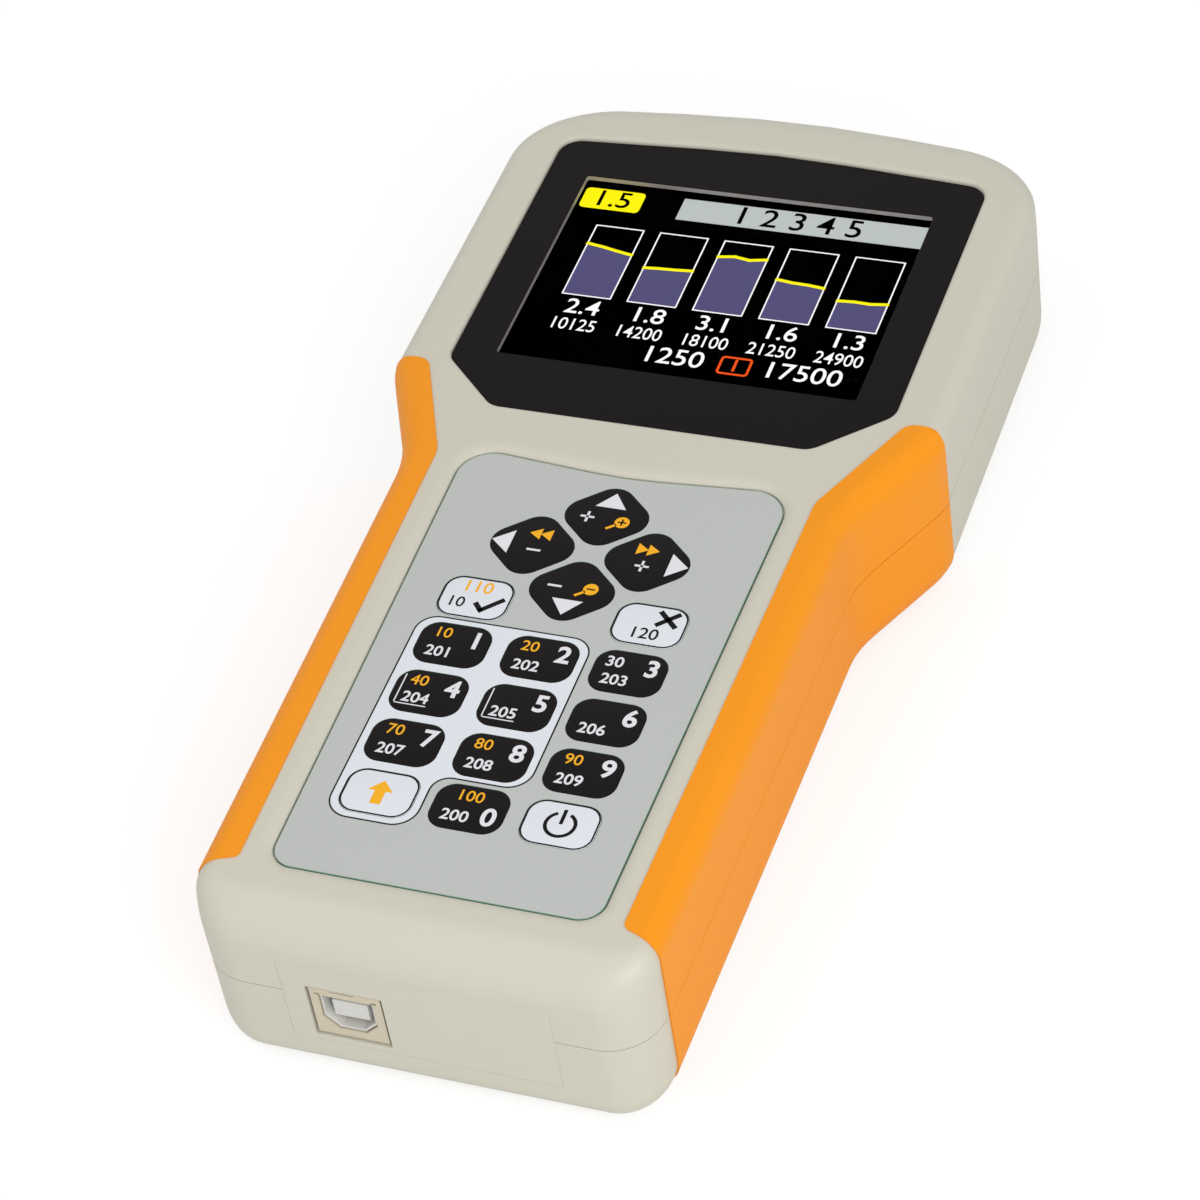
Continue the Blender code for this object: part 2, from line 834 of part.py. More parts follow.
def make_battery_cover(paint):
    """Plate that tilts on two tabs; its origin lies on the tilt axis."""
    left, right = cover_x_range(0)
    foot, head = cover_y_range(0)
    edge = head - slide_gap
    cover = box("battery_cover", (left, right), (foot, edge), (0, cover_thickness))
    rib = box("rib", (-bay_half_width + panel_gap, bay_half_width - panel_gap),
              (foot + cover_ledge + panel_gap, foot + cover_ledge + panel_gap + bay_wall),
              (cover_thickness / 2, wall))
    join(cover, rib)
    finger_low = wall + panel_gap
    finger = (finger_low, finger_low + cover_tab_thickness)
    for x in (-cover_tab_half_pitch, cover_tab_half_pitch):
        across = (x - cover_tab_width / 2, x + cover_tab_width / 2)
        join(cover, box("root", across, (edge - bay_wall, edge), (cover_thickness / 2, finger[1])))
        join(cover, box("tab", across, (edge - bay_wall / 2, edge + cover_tab_reach), finger))
    for vertex in cover.data.vertices:
        vertex.co.y -= edge
    cover.location = (0, edge, 0)
    return finish(cover, paint)


def make_cells(jacket, metal):
    """Two round cells side by side, lying head to tail, with their end plates."""
    foot, head = bay_y_range()
    middle = (foot + head) / 2
    height = wall + seat_gap + cell_radius
    half = cell_length / 2
    rim = cell_radius - cell_nub_length
    profile = [(-half, rim), (-half + cell_nub_length, cell_radius), (half - cell_nub_length, cell_radius),
               (half, rim), (half, cell_nub_radius), (half + cell_nub_length, cell_nub_radius)]
    for side, way in (("left", 1), ("right", -1)):
        run = [(way * distance, radius) for distance, radius in profile]
        place = (-way * cell_half_pitch, middle, height)
        finish(turned("battery_cell_" + side, run, place, "Y"), jacket)
    for name, wall_y, way in (("battery_contact_foot", foot, 1), ("battery_contact_head", head, -1)):
        near = wall_y + way * seat_gap
        far = near + way * contact_plate_thickness
        tip = middle - way * (half + cell_nub_length + seat_gap)
        low = height - contact_plate_height / 2
        plate = box(name, (-contact_plate_half_width, contact_plate_half_width), sorted((near, far)),
                    (low, low + contact_plate_height))
        for x in (-cell_half_pitch, cell_half_pitch):
            at_nub = (x > 0) == (way > 0)
            reach = tip if at_nub else tip + way * cell_nub_length
            leaf = box("leaf", (x - contact_leaf_width / 2, x + contact_leaf_width / 2),
                       sorted((near + way * contact_plate_thickness / 2, reach)),
                       (height - contact_leaf_height / 2, height + contact_leaf_height / 2))
            join(plate, leaf)
        finish(plate, metal)


def make_display(frame_paint, clear, glass, metal):
    outline = bezel_outline()
    bezel = prism("display_bezel", outline, bezel_bottom, bezel_top)
    cut(bezel, prism("opening", screen_opening(), bezel_bottom - overrun, bezel_top + overrun))
    finish(bezel, frame_paint)
    pane = shifted(rounded_rectangle(window_width, window_height, window_corner_radius), 0, screen_y)
    finish(prism("display_window", pane, window_bottom, window_top), clear)
    half_x = panel_width / 2
    half_y = panel_height / 2
    y_range = (screen_y - half_y, screen_y + half_y)
    finish(box("lcd_panel", (-half_x, half_x), y_range, (lcd_bottom, lcd_top)), glass)
    inner_x = half_x + panel_gap
    inner_y = half_y + panel_gap
    outer_x = inner_x + tray_wall
    outer_y = inner_y + tray_wall
    y_range = (screen_y - outer_y, screen_y + outer_y)
    tray = box("lcd_frame", (-outer_x, outer_x), y_range, (tray_bottom, lcd_top))
    y_range = (screen_y - inner_y, screen_y + inner_y)
    cut(tray, box("well", (-inner_x, inner_x), y_range, (lcd_bottom - seat_gap, lcd_top + overrun)))
    for x in (-1, 1):
        for y in (-1, 1):
            x_range = sorted((x * outer_x, x * (outer_x - tray_leg_width)))
            y_range = sorted((screen_y + y * outer_y, screen_y + y * (outer_y - tray_leg_length)))
            join(tray, box("leg", x_range, y_range, (board_top + seat_gap, tray_bottom + overrun)))
    finish(tray, metal)


def make_keypad(foil_paint, dark, light, board_paint, plastic):
    overlay = prism("keypad_overlay", foil_outline(), foil_bottom, foil_top)
    cut_key_holes(overlay, foil_bottom - overrun, foil_top + overrun)
    finish(overlay, foil_paint)
    light_keys = ("key_ok", "key_cancel", "key_f", "key_power")
    top = foil_top + key_proud
    for name, outline, margin, (x, y) in key_places():
        levels = [(flange_bottom, margin), (flange_top, margin), (flange_top, 0), (top, 0)]
        key = sloped_prism(name, outline, [(height - top, extra) for height, extra in levels])
        plunger = cylinder("plunger", (0, 0, 0), key_plunger_radius, plunger_bottom - top,
                           flange_bottom - top + key_flange_thickness / 2, sides=small_round_sides)
        join(key, plunger)
        key.location = (x, y, top)
        finish(key, light if name in light_keys else dark)
    foot = along(keypad_board_foot_share)
    head = along(keypad_board_head_share)
    half = keypad_board_half_width
    board = box("keypad_board", (-half, half), (foot, head), (keypad_board_bottom, keypad_board_top))
    for x, y in peg_places():
        cut(board, cylinder("hole", (x, y, 0), peg_radius + slide_gap, keypad_board_bottom - overrun,
                            keypad_board_top + overrun, sides=small_round_sides))
    finish(board, board_paint)
    make_header("keypad_header", keypad_header_share, keypad_board_bottom, plastic)


def make_header(name, place_share, underside, paint):
    """Pin strip that joins the main board to what lies above it."""
    half = header_width / 2
    y = along(place_share)
    strip = box(name, (-half, half), (y - header_depth / 2, y + header_depth / 2),
                (board_top + seat_gap, underside - seat_gap))
    return finish(strip, paint)


def post_places():
    foot = along(post_foot_share)
    head = along(post_head_share)
    return [(-post_foot_x, foot), (post_foot_x, foot), (-post_head_x, head), (post_head_x, head)]


def make_screw(name, centre, axis, sizes, paint):
    """Screw whose head sits on the centre, with the shank running along the axis.

    The sizes are head radius, head height, shank radius and shank length, the
    shank's length signed with its direction.
    """
    head_radius, head_height, shank_radius, shank_length = sizes
    way = math.copysign(1, shank_length)
    profile = [(-way * head_height, head_radius), (0, head_radius)]
    profile += [(0, shank_radius), (shank_length, shank_radius)]
    screw = turned(name, profile, centre, axis, small_round_sides)
    recess = [(-way * (head_height + overrun), screw_recess_radius)]
    recess += [(-way * (head_height - screw_recess_depth), screw_recess_radius)]
    cut(screw, turned("recess", recess, centre, axis, screw_recess_sides))
    return finish(screw, paint)


def make_main_board(board_paint, metal, plastic, screw_paint):
    right_side = [
        (board_foot_half_width, along(board_foot_share), board_corner_radius),
        (board_foot_half_width, along(board_step_share), board_corner_radius),
        (board_waist_half_width, along(board_step_share), board_corner_radius),
        (board_waist_half_width, along(board_waist_share), board_corner_radius),
        (board_head_half_width, along(board_head_share) - 2 * post_radius, board_corner_radius),
        (board_head_half_width, along(board_shoulder_share), board_corner_radius),
        (board_neck_half_width, along(board_neck_share), board_corner_radius),
        (board_neck_half_width, socket_face - socket_flange_thickness - insulator_tail - 2 * panel_gap,
         board_corner_radius),
    ]
    outline = rounded_outline(mirrored(right_side), small_arc_step)
    board = prism("main_board", outline, board_bottom, board_top)
    for x, y in post_places()[2:]:
        hole = board_screw_shank_radius + screw_hole_clearance
        cut(board, cylinder("hole", (x, y, 0), hole, board_bottom - overrun, board_top + overrun,
                            sides=small_round_sides))
    finish(board, board_paint)
    sizes = (board_screw_head_radius, board_screw_head_height, board_screw_shank_radius,
             -board_screw_shank_length)
    for name, (x, y) in zip(("board_screw_left", "board_screw_right"), post_places()[2:]):
        make_screw(name, (x, y, board_top + seat_gap), "Z", sizes, screw_paint)
    half = chip_size / 2
    y = along(chip_share)
    chip = box("processor_chip", (-half, half), (y - half, y + half),
               (board_top + seat_gap, board_top + seat_gap + chip_thickness))
    finish(chip, plastic)
    low = board_top + seat_gap
    place = (buzzer_x, along(buzzer_share), 0)
    finish(cylinder("buzzer", place, buzzer_radius, low, low + buzzer_height), plastic)
    half_x = shield_width / 2
    half_y = shield_length / 2
    y = socket_face - socket_flange_thickness - contact_tail - shield_clearance - half_y
    high = board_bottom - seat_gap
    shield = box("rf_shield", (-half_x, half_x), (y - half_y, y + half_y), (high - shield_height, high))
    finish(shield, metal)
    make_header("display_header", display_header_share, tray_bottom, plastic)


def usb_outline(width, height, bevel):
    """Socket mouth, seen from the end: its two lower corners are cut off."""
    half_x = width / 2
    half_z = height / 2
    return [(half_x, half_z), (-half_x, half_z), (-half_x, -half_z + bevel),
            (-half_x + bevel, -half_z), (half_x - bevel, -half_z), (half_x, -half_z + bevel)]


def make_computer_socket(metal, white):
    middle = usb_top_height - usb_height / 2
    face = lower_end + usb_sink
    half = usb_width / 2
    shell = box("usb_shell", (usb_x - half, usb_x + half), (face, face + usb_length),
                (middle - usb_height / 2, usb_top_height))
    mouth = usb_outline(usb_mouth_width, usb_mouth_height, usb_mouth_bevel)
    rings = [[(usb_x + x, y, middle + z) for x, z in mouth] for y in (face - overrun, face + usb_mouth_depth)]
    cut(shell, loft("mouth", rings))
    finish(shell, metal)
    back = face + usb_mouth_depth - seat_gap
    shrink = 2 * slide_gap
    base = usb_outline(usb_mouth_width - shrink, usb_mouth_height - shrink, usb_mouth_bevel)
    rings = [[(usb_x + x, y, middle + z) for x, z in base] for y in (back - usb_base_thickness, back)]
    tongue = loft("usb_tongue", rings)
    half_x = usb_tongue_width / 2
    half_z = usb_tongue_height / 2
    y_range = (face + usb_tongue_sink, back - usb_base_thickness / 2)
    join(tongue, box("blade", (usb_x - half_x, usb_x + half_x), y_range, (middle - half_z, middle + half_z)))
    finish(tongue, white)


def make_lower_end_panel(paint):
    half = end_panel_half_width
    inner = lower_end + wall + panel_gap
    panel = box("lower_end_panel", (-half, half), (lower_end, inner + end_panel_flange_thickness),
                (end_panel_low, end_panel_high))
    margin = end_panel_flange_margin
    flange = box("flange", (-half - margin, half + margin), (inner, inner + end_panel_flange_thickness),
                 (end_panel_low - margin, end_panel_high + margin))
    join(panel, flange)
    half = usb_width / 2 + usb_window_margin
    window = box("window", (usb_x - half, usb_x + half), (lower_end - overrun, inner + 2 * overrun),
                 (usb_top_height - usb_height - usb_window_margin, usb_top_height + usb_window_margin))
    cut(panel, window)
    return finish(panel, paint)


def flange_holes():
    half = socket_hole_pitch / 2
    return [(x, z) for x in (-half, half) for z in (socket_height - half, socket_height + half)]


def make_antenna_socket(metal, white, brass, plastic, screw_paint):
    """Threaded socket fixed behind the floor of a pocket in the upper end."""
    floor_face = socket_face + pocket_wall
    width = 2 * pocket_half_width
    lip = upper_end - wall / 2
    pocket = end_prism("socket_pocket", width + 2 * pocket_wall, pocket_height + 2 * pocket_wall,
                       pocket_corner_radius, (socket_face, lip))
    cut(pocket, end_prism("hollow", width, pocket_height, pocket_corner_radius - pocket_wall,
                          (floor_face, lip + overrun)))
    centre = (0, socket_face, socket_height)
    through = pocket_wall + overrun
    cut(pocket, cylinder("hole", centre, socket_thread_radius + slide_gap, -overrun, through, "Y"))
    clearance = pocket_screw_shank_radius + screw_hole_clearance
    for x, z in flange_holes():
        place = (x, socket_face, z)
        cut(pocket, cylinder("hole", place, clearance, -overrun, through, "Y", small_round_sides))
    finish(pocket, plastic)

    back = -seat_gap - socket_flange_thickness
    half = socket_flange_size / 2
    body = box("antenna_socket", (-half, half), (socket_face + back, socket_face - seat_gap),
               (socket_height - half, socket_height + half))
    reach = socket_sink + socket_reach
    start = pocket_wall + socket_thread_depth
    pitch = (reach - start - socket_thread_depth) / socket_thread_turns
    root = socket_thread_radius - socket_thread_depth
    profile = [(back / 2, root)]
    for turn in range(socket_thread_turns):
        profile += [(start + turn * pitch, root), (start + (turn + 0.5) * pitch, socket_thread_radius)]
    profile += [(start + socket_thread_turns * pitch, root), (reach, root)]
    join(body, turned("barrel", profile, centre, "Y"))
    cut(body, cylinder("bore", centre, socket_bore_radius, back - overrun, reach + overrun, "Y"))
    for x, z in flange_holes():
        place = (x, socket_face, z)
        cut(body, cylinder("hole", place, clearance, back - overrun, overrun, "Y", small_round_sides))
    finish(body, metal)

    tip = reach - insulator_sink
    tail = back - insulator_tail
    disc = cylinder("antenna_insulator", centre, socket_bore_radius - slide_gap, tail, tip, "Y")
    bore = contact_outer_radius + slide_gap
    cut(disc, cylinder("bore", centre, bore, tail - overrun, tip + overrun, "Y"))
    finish(disc, white)
    tip = reach - contact_sink
    pin = cylinder("antenna_contact", centre, contact_outer_radius, back - contact_tail, tip, "Y",
                   small_round_sides)
    cut(pin, cylinder("bore", centre, contact_bore_radius, tip - contact_bore_depth, tip + overrun, "Y",
                      small_round_sides))
    finish(pin, brass)
    sizes = (pocket_screw_head_radius, pocket_screw_head_height, pocket_screw_shank_radius,
             -pocket_screw_shank_length)
    for number, (x, z) in enumerate(flange_holes(), start=1):
        place = (x, floor_face + seat_gap, z)
        make_screw("socket_screw_" + str(number), place, "Y", sizes, screw_paint)


def make_case_screws(paint):
    sizes = (case_screw_head_radius, case_screw_head_height, case_screw_shank_radius, case_screw_shank_length)
    for number, (x, y) in enumerate(boss_places(), start=1):
        make_screw("case_screw_" + str(number), (x, y, case_screw_seat - 2 * seat_gap), "Z", sizes, paint)


def main():
    remove_old_objects()
    beige = plain_material("case_plastic", (0.60, 0.59, 0.49), 0.45)
    orange = plain_material("grip_rubber", (0.93, 0.32, 0.02), 0.55)
    black = plain_material("bezel_plastic", (0.015, 0.013, 0.014), 0.25)
    clear = plain_material("window_clear", (0.95, 0.95, 0.95), 0.05, transmission=1.0)
    glass = plain_material("display_glass", (0.01, 0.01, 0.01), 0.1)
    tin = plain_material("tinned_steel", (0.62, 0.62, 0.60), 0.3, 1.0)
    foil = plain_material("overlay_grey", (0.49, 0.52, 0.50), 0.5)
    dark_key = plain_material("key_black", (0.012, 0.011, 0.011), 0.5)
    light_key = plain_material("key_white", (0.75, 0.78, 0.82), 0.5)
    green = plain_material("board_green", (0.02, 0.16, 0.06), 0.4)
    dark = plain_material("component_black", (0.02, 0.02, 0.02), 0.5)
    usb_metal = plain_material("socket_metal", (0.72, 0.62, 0.49), 0.35, 0.6)
    white = plain_material("insulator_white", (0.68, 0.72, 0.72), 0.5)
    nickel = plain_material("nickel_plate", (0.70, 0.69, 0.66), 0.25, 1.0)
    brass = plain_material("contact_brass", (0.80, 0.60, 0.25), 0.3, 1.0)
    zinc = plain_material("screw_steel", (0.50, 0.50, 0.50), 0.35, 1.0)
    jacket = plain_material("cell_jacket", (0.05, 0.06, 0.10), 0.4)

    make_front_shell(beige)
    make_rear_shell(beige)
    make_grips(orange)
    make_display(black, clear, glass, tin)
    make_keypad(foil, dark_key, light_key, green, dark)
    make_main_board(green, tin, dark, zinc)
    make_computer_socket(usb_metal, white)
    make_lower_end_panel(beige)
    make_antenna_socket(nickel, white, brass, beige, zinc)
    make_battery_cover(beige)
    make_cells(jacket, tin)
    make_case_screws(zinc)


main()
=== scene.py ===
"""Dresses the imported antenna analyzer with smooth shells, printed keys, a lit display and its finishes."""

import json
import math

import bmesh
import bpy
from bpy.props import FloatProperty, FloatVectorProperty, IntProperty, PointerProperty
from mathutils import Matrix, Vector


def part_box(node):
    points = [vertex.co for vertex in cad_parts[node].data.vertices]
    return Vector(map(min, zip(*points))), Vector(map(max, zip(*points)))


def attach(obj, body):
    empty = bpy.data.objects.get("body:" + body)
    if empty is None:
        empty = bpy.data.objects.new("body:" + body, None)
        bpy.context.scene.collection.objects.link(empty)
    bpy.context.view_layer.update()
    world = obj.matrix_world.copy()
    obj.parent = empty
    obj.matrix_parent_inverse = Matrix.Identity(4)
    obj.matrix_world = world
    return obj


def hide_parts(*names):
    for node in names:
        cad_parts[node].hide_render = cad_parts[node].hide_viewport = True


bl_info = {
    "name": "Antenna Analyzer Dressing",
    "version": (1, 0, 0),
    "blender": (4, 5, 0),
    "location": "3D View > Sidebar > Analyzer",
    "description": "Builds the visible pieces of a hand-held antenna analyzer around its packed frame",
    "category": "Object",
}

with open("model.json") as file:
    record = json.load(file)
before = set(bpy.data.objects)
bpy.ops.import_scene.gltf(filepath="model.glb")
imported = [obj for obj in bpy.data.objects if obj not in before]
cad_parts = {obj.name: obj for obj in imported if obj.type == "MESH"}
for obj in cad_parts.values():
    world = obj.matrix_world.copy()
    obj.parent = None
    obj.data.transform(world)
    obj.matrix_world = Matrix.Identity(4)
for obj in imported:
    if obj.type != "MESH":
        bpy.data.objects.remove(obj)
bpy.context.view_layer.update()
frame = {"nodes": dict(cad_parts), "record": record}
nodes = frame["nodes"]

# Case sizes, as the frame was built
lower_end = -0.1065
upper_end = 0.1005
case_length = upper_end - lower_end
case_thickness = 0.0345
head_half_width = 0.0498
waist_half_width = 0.0395
foot_half_width = 0.0376
waist_y = lower_end + 0.10329
shoulder_y = lower_end + 0.12490
foot_corner_radius = 0.0088
waist_blend_radius = 0.0220
shoulder_blend_radius = 0.0150
head_corner_radius = 0.0200
head_arch_radius = 0.2000
head_arch_angle = math.radians(6.0)
wall = 0.0026
front_end_radius = 0.0080
front_side_radius = 0.0034
rear_side_inset = 0.0054
rear_side_rise = 0.0070
rear_end_radius = 0.0050
seam_height = 0.0186
overrun = 0.0010

# Grips
grip_depth = 0.0012
grip_foot_y = lower_end + 0.0116
grip_foot_slant = 0.0078
grip_inner_foot = 0.0316
grip_inner_waist = 0.0336
grip_bend_y = lower_end + 0.1052
grip_tip_y = lower_end + 0.1268
grip_tip_inner = 0.0434
grip_tip_width = 0.0050
grip_side_y = lower_end + 0.1249
grip_corner_radius = 0.0013
grip_tip_radius = 0.0028
grip_bend_radius = 0.0060
grip_rear_shift = 0.0045

# Display
bezel_half_width = 0.0404
bezel_bottom_y = lower_end + 0.1182
bezel_chamfer_half_width = 0.0286
bezel_chamfer_y = lower_end + 0.1290
bezel_top_y = lower_end + 0.1934
bezel_arch_angle = math.radians(4.0)
bezel_corner_radius = 0.0040
bezel_low, bezel_high = (corner.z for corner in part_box("display_bezel"))
screen_y = lower_end + 0.1566
screen_width = 0.0656
screen_height = 0.0494
screen_corner_radius = 0.0006
display_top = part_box("lcd_panel")[1].z

# Keypad
film_low, film_high = (corner.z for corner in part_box("keypad_overlay"))
foil_foot_half_width = 0.0272
foil_head_half_width = 0.0290
foil_foot_y = lower_end + 0.0122
foil_head_y = lower_end + 0.1078
foil_head_dip = 0.0024
foil_foot_radius = 0.0040
foil_head_radius = 0.0060
foil_dip_radius = 0.0700
key_width = 0.0121
key_height = 0.0091
key_corner_radius = 0.0030
diamond_half_width = 0.0091
diamond_half_height = 0.0080
diamond_corner_radius = 0.0037

# Sockets and cover
socket_height = 0.01725
socket_face = upper_end - 0.0090
pocket_half_width = 0.0140
pocket_height = 0.0255
pocket_wall = 0.0012
pocket_corner_radius = 0.0020
bay_half_width = 0.0163
bay_wall = 0.0012
bay_roof_height = 0.0174
bay_foot_y = lower_end + 0.0220
bay_head_y = lower_end + 0.0780
case_screw_seat = 0.0100
case_screw_bore = 0.00305

DARK_KEYS = ("key_1", "key_2", "key_3", "key_4", "key_5", "key_6", "key_7", "key_8", "key_9", "key_0")
LIGHT_KEYS = ("key_ok", "key_cancel", "key_f", "key_power")
DIAMONDS = ("key_up", "key_down", "key_left", "key_right")


def tone(red, green, blue):
    """Linear colour from the three 0 to 255 values that a colour picker shows."""
    shares = [value / 255 for value in (red, green, blue)]
    return tuple(s / 12.92 if s <= 0.04045 else ((s + 0.055) / 1.055) ** 2.4 for s in shares)


def colour_setting(label, text, default):
    return FloatVectorProperty(name=label, description=text, default=default, subtype="COLOR", min=0, max=1)


def length_setting(label, text, default):
    return FloatProperty(name=label, description=text, default=default, unit="LENGTH", min=0, precision=5)


class AnalyzerCase(bpy.types.PropertyGroup):
    arc_step: FloatProperty(name="Arc Step", description="Turn between points on the round corners",
                            default=math.radians(5.0), subtype="ANGLE")
    edge_steps: IntProperty(name="Edge Steps", description="Rows over each rounded case edge", default=12)
    round_sides: IntProperty(name="Round Sides", description="Sides of the turned pieces", default=64)
    seam_gap: length_setting("Seam Gap", "Width of the line between the case halves", 0.00016)
    foil_lip_width: length_setting("Keypad Lip Width", "Width of the rounded lip round the keypad", 0.0024)
    foil_lip_height: length_setting("Keypad Lip Height", "Height of the rounded lip round the keypad", 0.0013)
    bezel_lip_width: length_setting("Display Lip Width", "Width of the rounded lip round the display", 0.0009)
    bezel_lip_height: length_setting("Display Lip Height", "Height of the rounded lip round the display", 0.0007)
    grip_proud: length_setting("Grip Relief", "How far the soft grips stand proud", 0.0003)
    grip_edge: length_setting("Grip Edge", "Rounding of the grip's edges", 0.0002)
    groove_count: IntProperty(name="Cover Grooves", description="Finger grooves in the battery cover", default=7)
    groove_pitch: length_setting("Groove Pitch", "Distance between the finger grooves", 0.0018)


class AnalyzerKeypad(bpy.types.PropertyGroup):
    key_top: length_setting("Key Top", "Height of the key tops above the film", 0.00007)
    key_gap: length_setting("Key Gap", "Gap round each key", 0.00012)
    ink_height: length_setting("Ink Height", "Thickness of the printed legends", 0.00002)
    digit_size: length_setting("Digit Size", "Size of the large digit on a number key", 0.0050)
    small_size: length_setting("Small Size", "Size of the small numbers on a number key", 0.0031)
    line_width: length_setting("Line Width", "Width of the printed outlines", 0.00026)


class AnalyzerDisplay(bpy.types.PropertyGroup):
    bar_count: IntProperty(name="Bars", description="Number of bars in the display", default=5)
    bar_pitch: length_setting("Bar Pitch", "Distance between the bars", 0.01225)
    bar_width: length_setting("Bar Width", "Width of a bar", 0.0093)
    bar_height: length_setting("Bar Height", "Height of a bar's outline", 0.0194)
    line_width: length_setting("Line Width", "Width of the bar outlines", 0.00026)
    glow: FloatProperty(name="Glow", description="Brightness of the picture", default=1.0, min=0)


class AnalyzerFinishes(bpy.types.PropertyGroup):
    case: colour_setting("Case", "Moulded case", tone(206, 203, 187))
    grip: colour_setting("Grip", "Soft side grips", tone(247, 152, 16))
    film: colour_setting("Film", "Keypad film", tone(189, 192, 189))
    field: colour_setting("Field", "Pale field behind the number keys", tone(224, 228, 234))
    dark: colour_setting("Dark Key", "Dark keys", tone(24, 21, 21))
    legend: colour_setting("Legend", "Pale legends", tone(228, 228, 233))
    accent: colour_setting("Accent", "Orange legends", tone(248, 178, 16))
    bezel: colour_setting("Bezel", "Panel round the display", tone(24, 20, 21))
    bar: colour_setting("Bar", "Fill of the bars in the display", tone(84, 80, 120))
    trace: colour_setting("Trace", "Lines over the bars in the display", tone(255, 242, 20))


class AnalyzerStudio(bpy.types.PropertyGroup):
    lens: FloatProperty(name="Lens", description="Focal length of the camera in millimetres", default=115.45)
    azimuth: FloatProperty(name="Azimuth", description="Turn of the camera round the object",
                           default=math.radians(25.80), subtype="ANGLE")
    elevation: FloatProperty(name="Elevation", description="Height angle of the camera",
                             default=math.radians(44.36), subtype="ANGLE")
    roll: FloatProperty(name="Roll", description="Tilt of the camera about its own axis",
                        default=math.radians(-9.79), subtype="ANGLE")
    place: FloatVectorProperty(name="Place", description="Place of the camera", unit="LENGTH",
                               default=(0.20008, -0.43214, 0.47139))
    sky: FloatProperty(name="Sky", description="Strength of the light from all round", default=0.66)
    key_power: FloatProperty(name="Key Light", description="Power of the large lamp in watts", default=2.5)
    fill_power: FloatProperty(name="Top Light", description="Power of the overhead lamp in watts", default=0.5)


# Outlines and solids


def rounded_outline(corners, arc_step):
    """Outline with rounded corners from (x, y, radius), counter-clockwise.

    Each returned point is (x, y, normal_x, normal_y), the normal facing out.
    """
    outline = []
    count = len(corners)
    for index, (x, y, radius) in enumerate(corners):
        before = corners[index - 1]
        after = corners[(index + 1) % count]
        heading_in = math.atan2(y - before[1], x - before[0])
        heading_out = math.atan2(after[1] - y, after[0] - x)
        turn = (heading_out - heading_in + math.pi) % math.tau - math.pi
        tangent = radius * math.tan(abs(turn) / 2)
        side = math.copysign(radius, turn)
        start = heading_in - math.pi / 2
        centre_x = x - tangent * math.cos(heading_in) - side * math.cos(start)
        centre_y = y - tangent * math.sin(heading_in) - side * math.sin(start)
        steps = max(2, math.ceil(abs(turn) / arc_step))
        for step in range(steps + 1):
            angle = start + turn * step / steps
            normal = (math.cos(angle), math.sin(angle))
            outline.append((centre_x + side * normal[0], centre_y + side * normal[1], *normal))
    return outline


def mirrored(right_side):
    """Close a right-hand run of corners with its mirror image."""
    return right_side + [(-x, y, radius) for x, y, radius in reversed(right_side) if x > 0]


def flipped(outline):
    return [(-x, y, -nx, ny) for x, y, nx, ny in reversed(outline)]


def grown(outline, margin):
    return [(x + nx * margin, y + ny * margin, nx, ny) for x, y, nx, ny in outline]


def shifted(outline, shift_x, shift_y):
    return [(x + shift_x, y + shift_y, nx, ny) for x, y, nx, ny in outline]


def rounded_rectangle(width, height, radius, arc_step):
    right_side = [(width / 2, -height / 2, radius), (width / 2, height / 2, radius)]
    return rounded_outline(mirrored(right_side), arc_step)


def circle(radius, sides):
    turns = [math.tau * index / sides for index in range(sides)]
    return [(radius * math.cos(t), radius * math.sin(t), math.cos(t), math.sin(t)) for t in turns]


def ring_at(outline, height, inset_x, inset_y):
    return [(x - nx * inset_x, y - ny * inset_y, height) for x, y, nx, ny in outline]


def object_from(builder, name):
    """Turn a bmesh into an object at the origin, with its normals facing out."""
    bmesh.ops.recalc_face_normals(builder, faces=builder.faces[:])
    mesh = bpy.data.meshes.new(name)
    builder.to_mesh(mesh)
    builder.free()
    made = bpy.data.objects.new(name, mesh)
    bpy.context.scene.collection.objects.link(made)
    return made


def add_rows(builder, rings):
    """Join rings of equal point count with quads and return the rows of vertices."""
    rows = [[builder.verts.new(point) for point in ring] for ring in rings]
    count = len(rows[0])
    for lower, upper in zip(rows, rows[1:]):
        for index in range(count):
            following = (index + 1) % count
            builder.faces.new((lower[index], lower[following], upper[following], upper[index]))
    return rows


def add_loft(builder, rings):
    rows = add_rows(builder, rings)
    builder.faces.new(rows[0])
    builder.faces.new(rows[-1])


def loft(name, rings):
    builder = bmesh.new()
    add_loft(builder, rings)
    return object_from(builder, name)


def levels_of(outline, levels):
    """Rings through (height, outward margin) levels of one outline."""
    return [ring_at(outline, height, -margin, -margin) for height, margin in levels]


def prism(name, outline, low, high):
    return loft(name, levels_of(outline, [(low, 0), (high, 0)]))


def box(name, x_range, y_range, z_range):
    corners = [(x_range[0], y_range[0]), (x_range[1], y_range[0]), (x_range[1], y_range[1]), (x_range[0], y_range[1])]
    return loft(name, [[(x, y, z) for x, y in corners] for z in z_range])


def end_prism(name, width, height, radius, y_range, arc_step):
    """Rounded block whose outline stands upright, centred on the antenna socket."""
    outline = rounded_rectangle(width, height, radius, arc_step)
    return loft(name, [[(x, y, socket_height + z) for x, z, _, _ in outline] for y in y_range])


def cup(name, outer, inner):
    """Open shell between outer and inner rings, both starting at the rim."""
    builder = bmesh.new()
    outer_rows = add_rows(builder, outer)
    inner_rows = add_rows(builder, inner)
    builder.faces.new(outer_rows[-1])
    builder.faces.new(inner_rows[-1])
    for index in range(len(outer[0])):
        following = (index + 1) % len(outer[0])
        builder.faces.new((outer_rows[0][index], outer_rows[0][following],
                           inner_rows[0][following], inner_rows[0][index]))
    return object_from(builder, name)


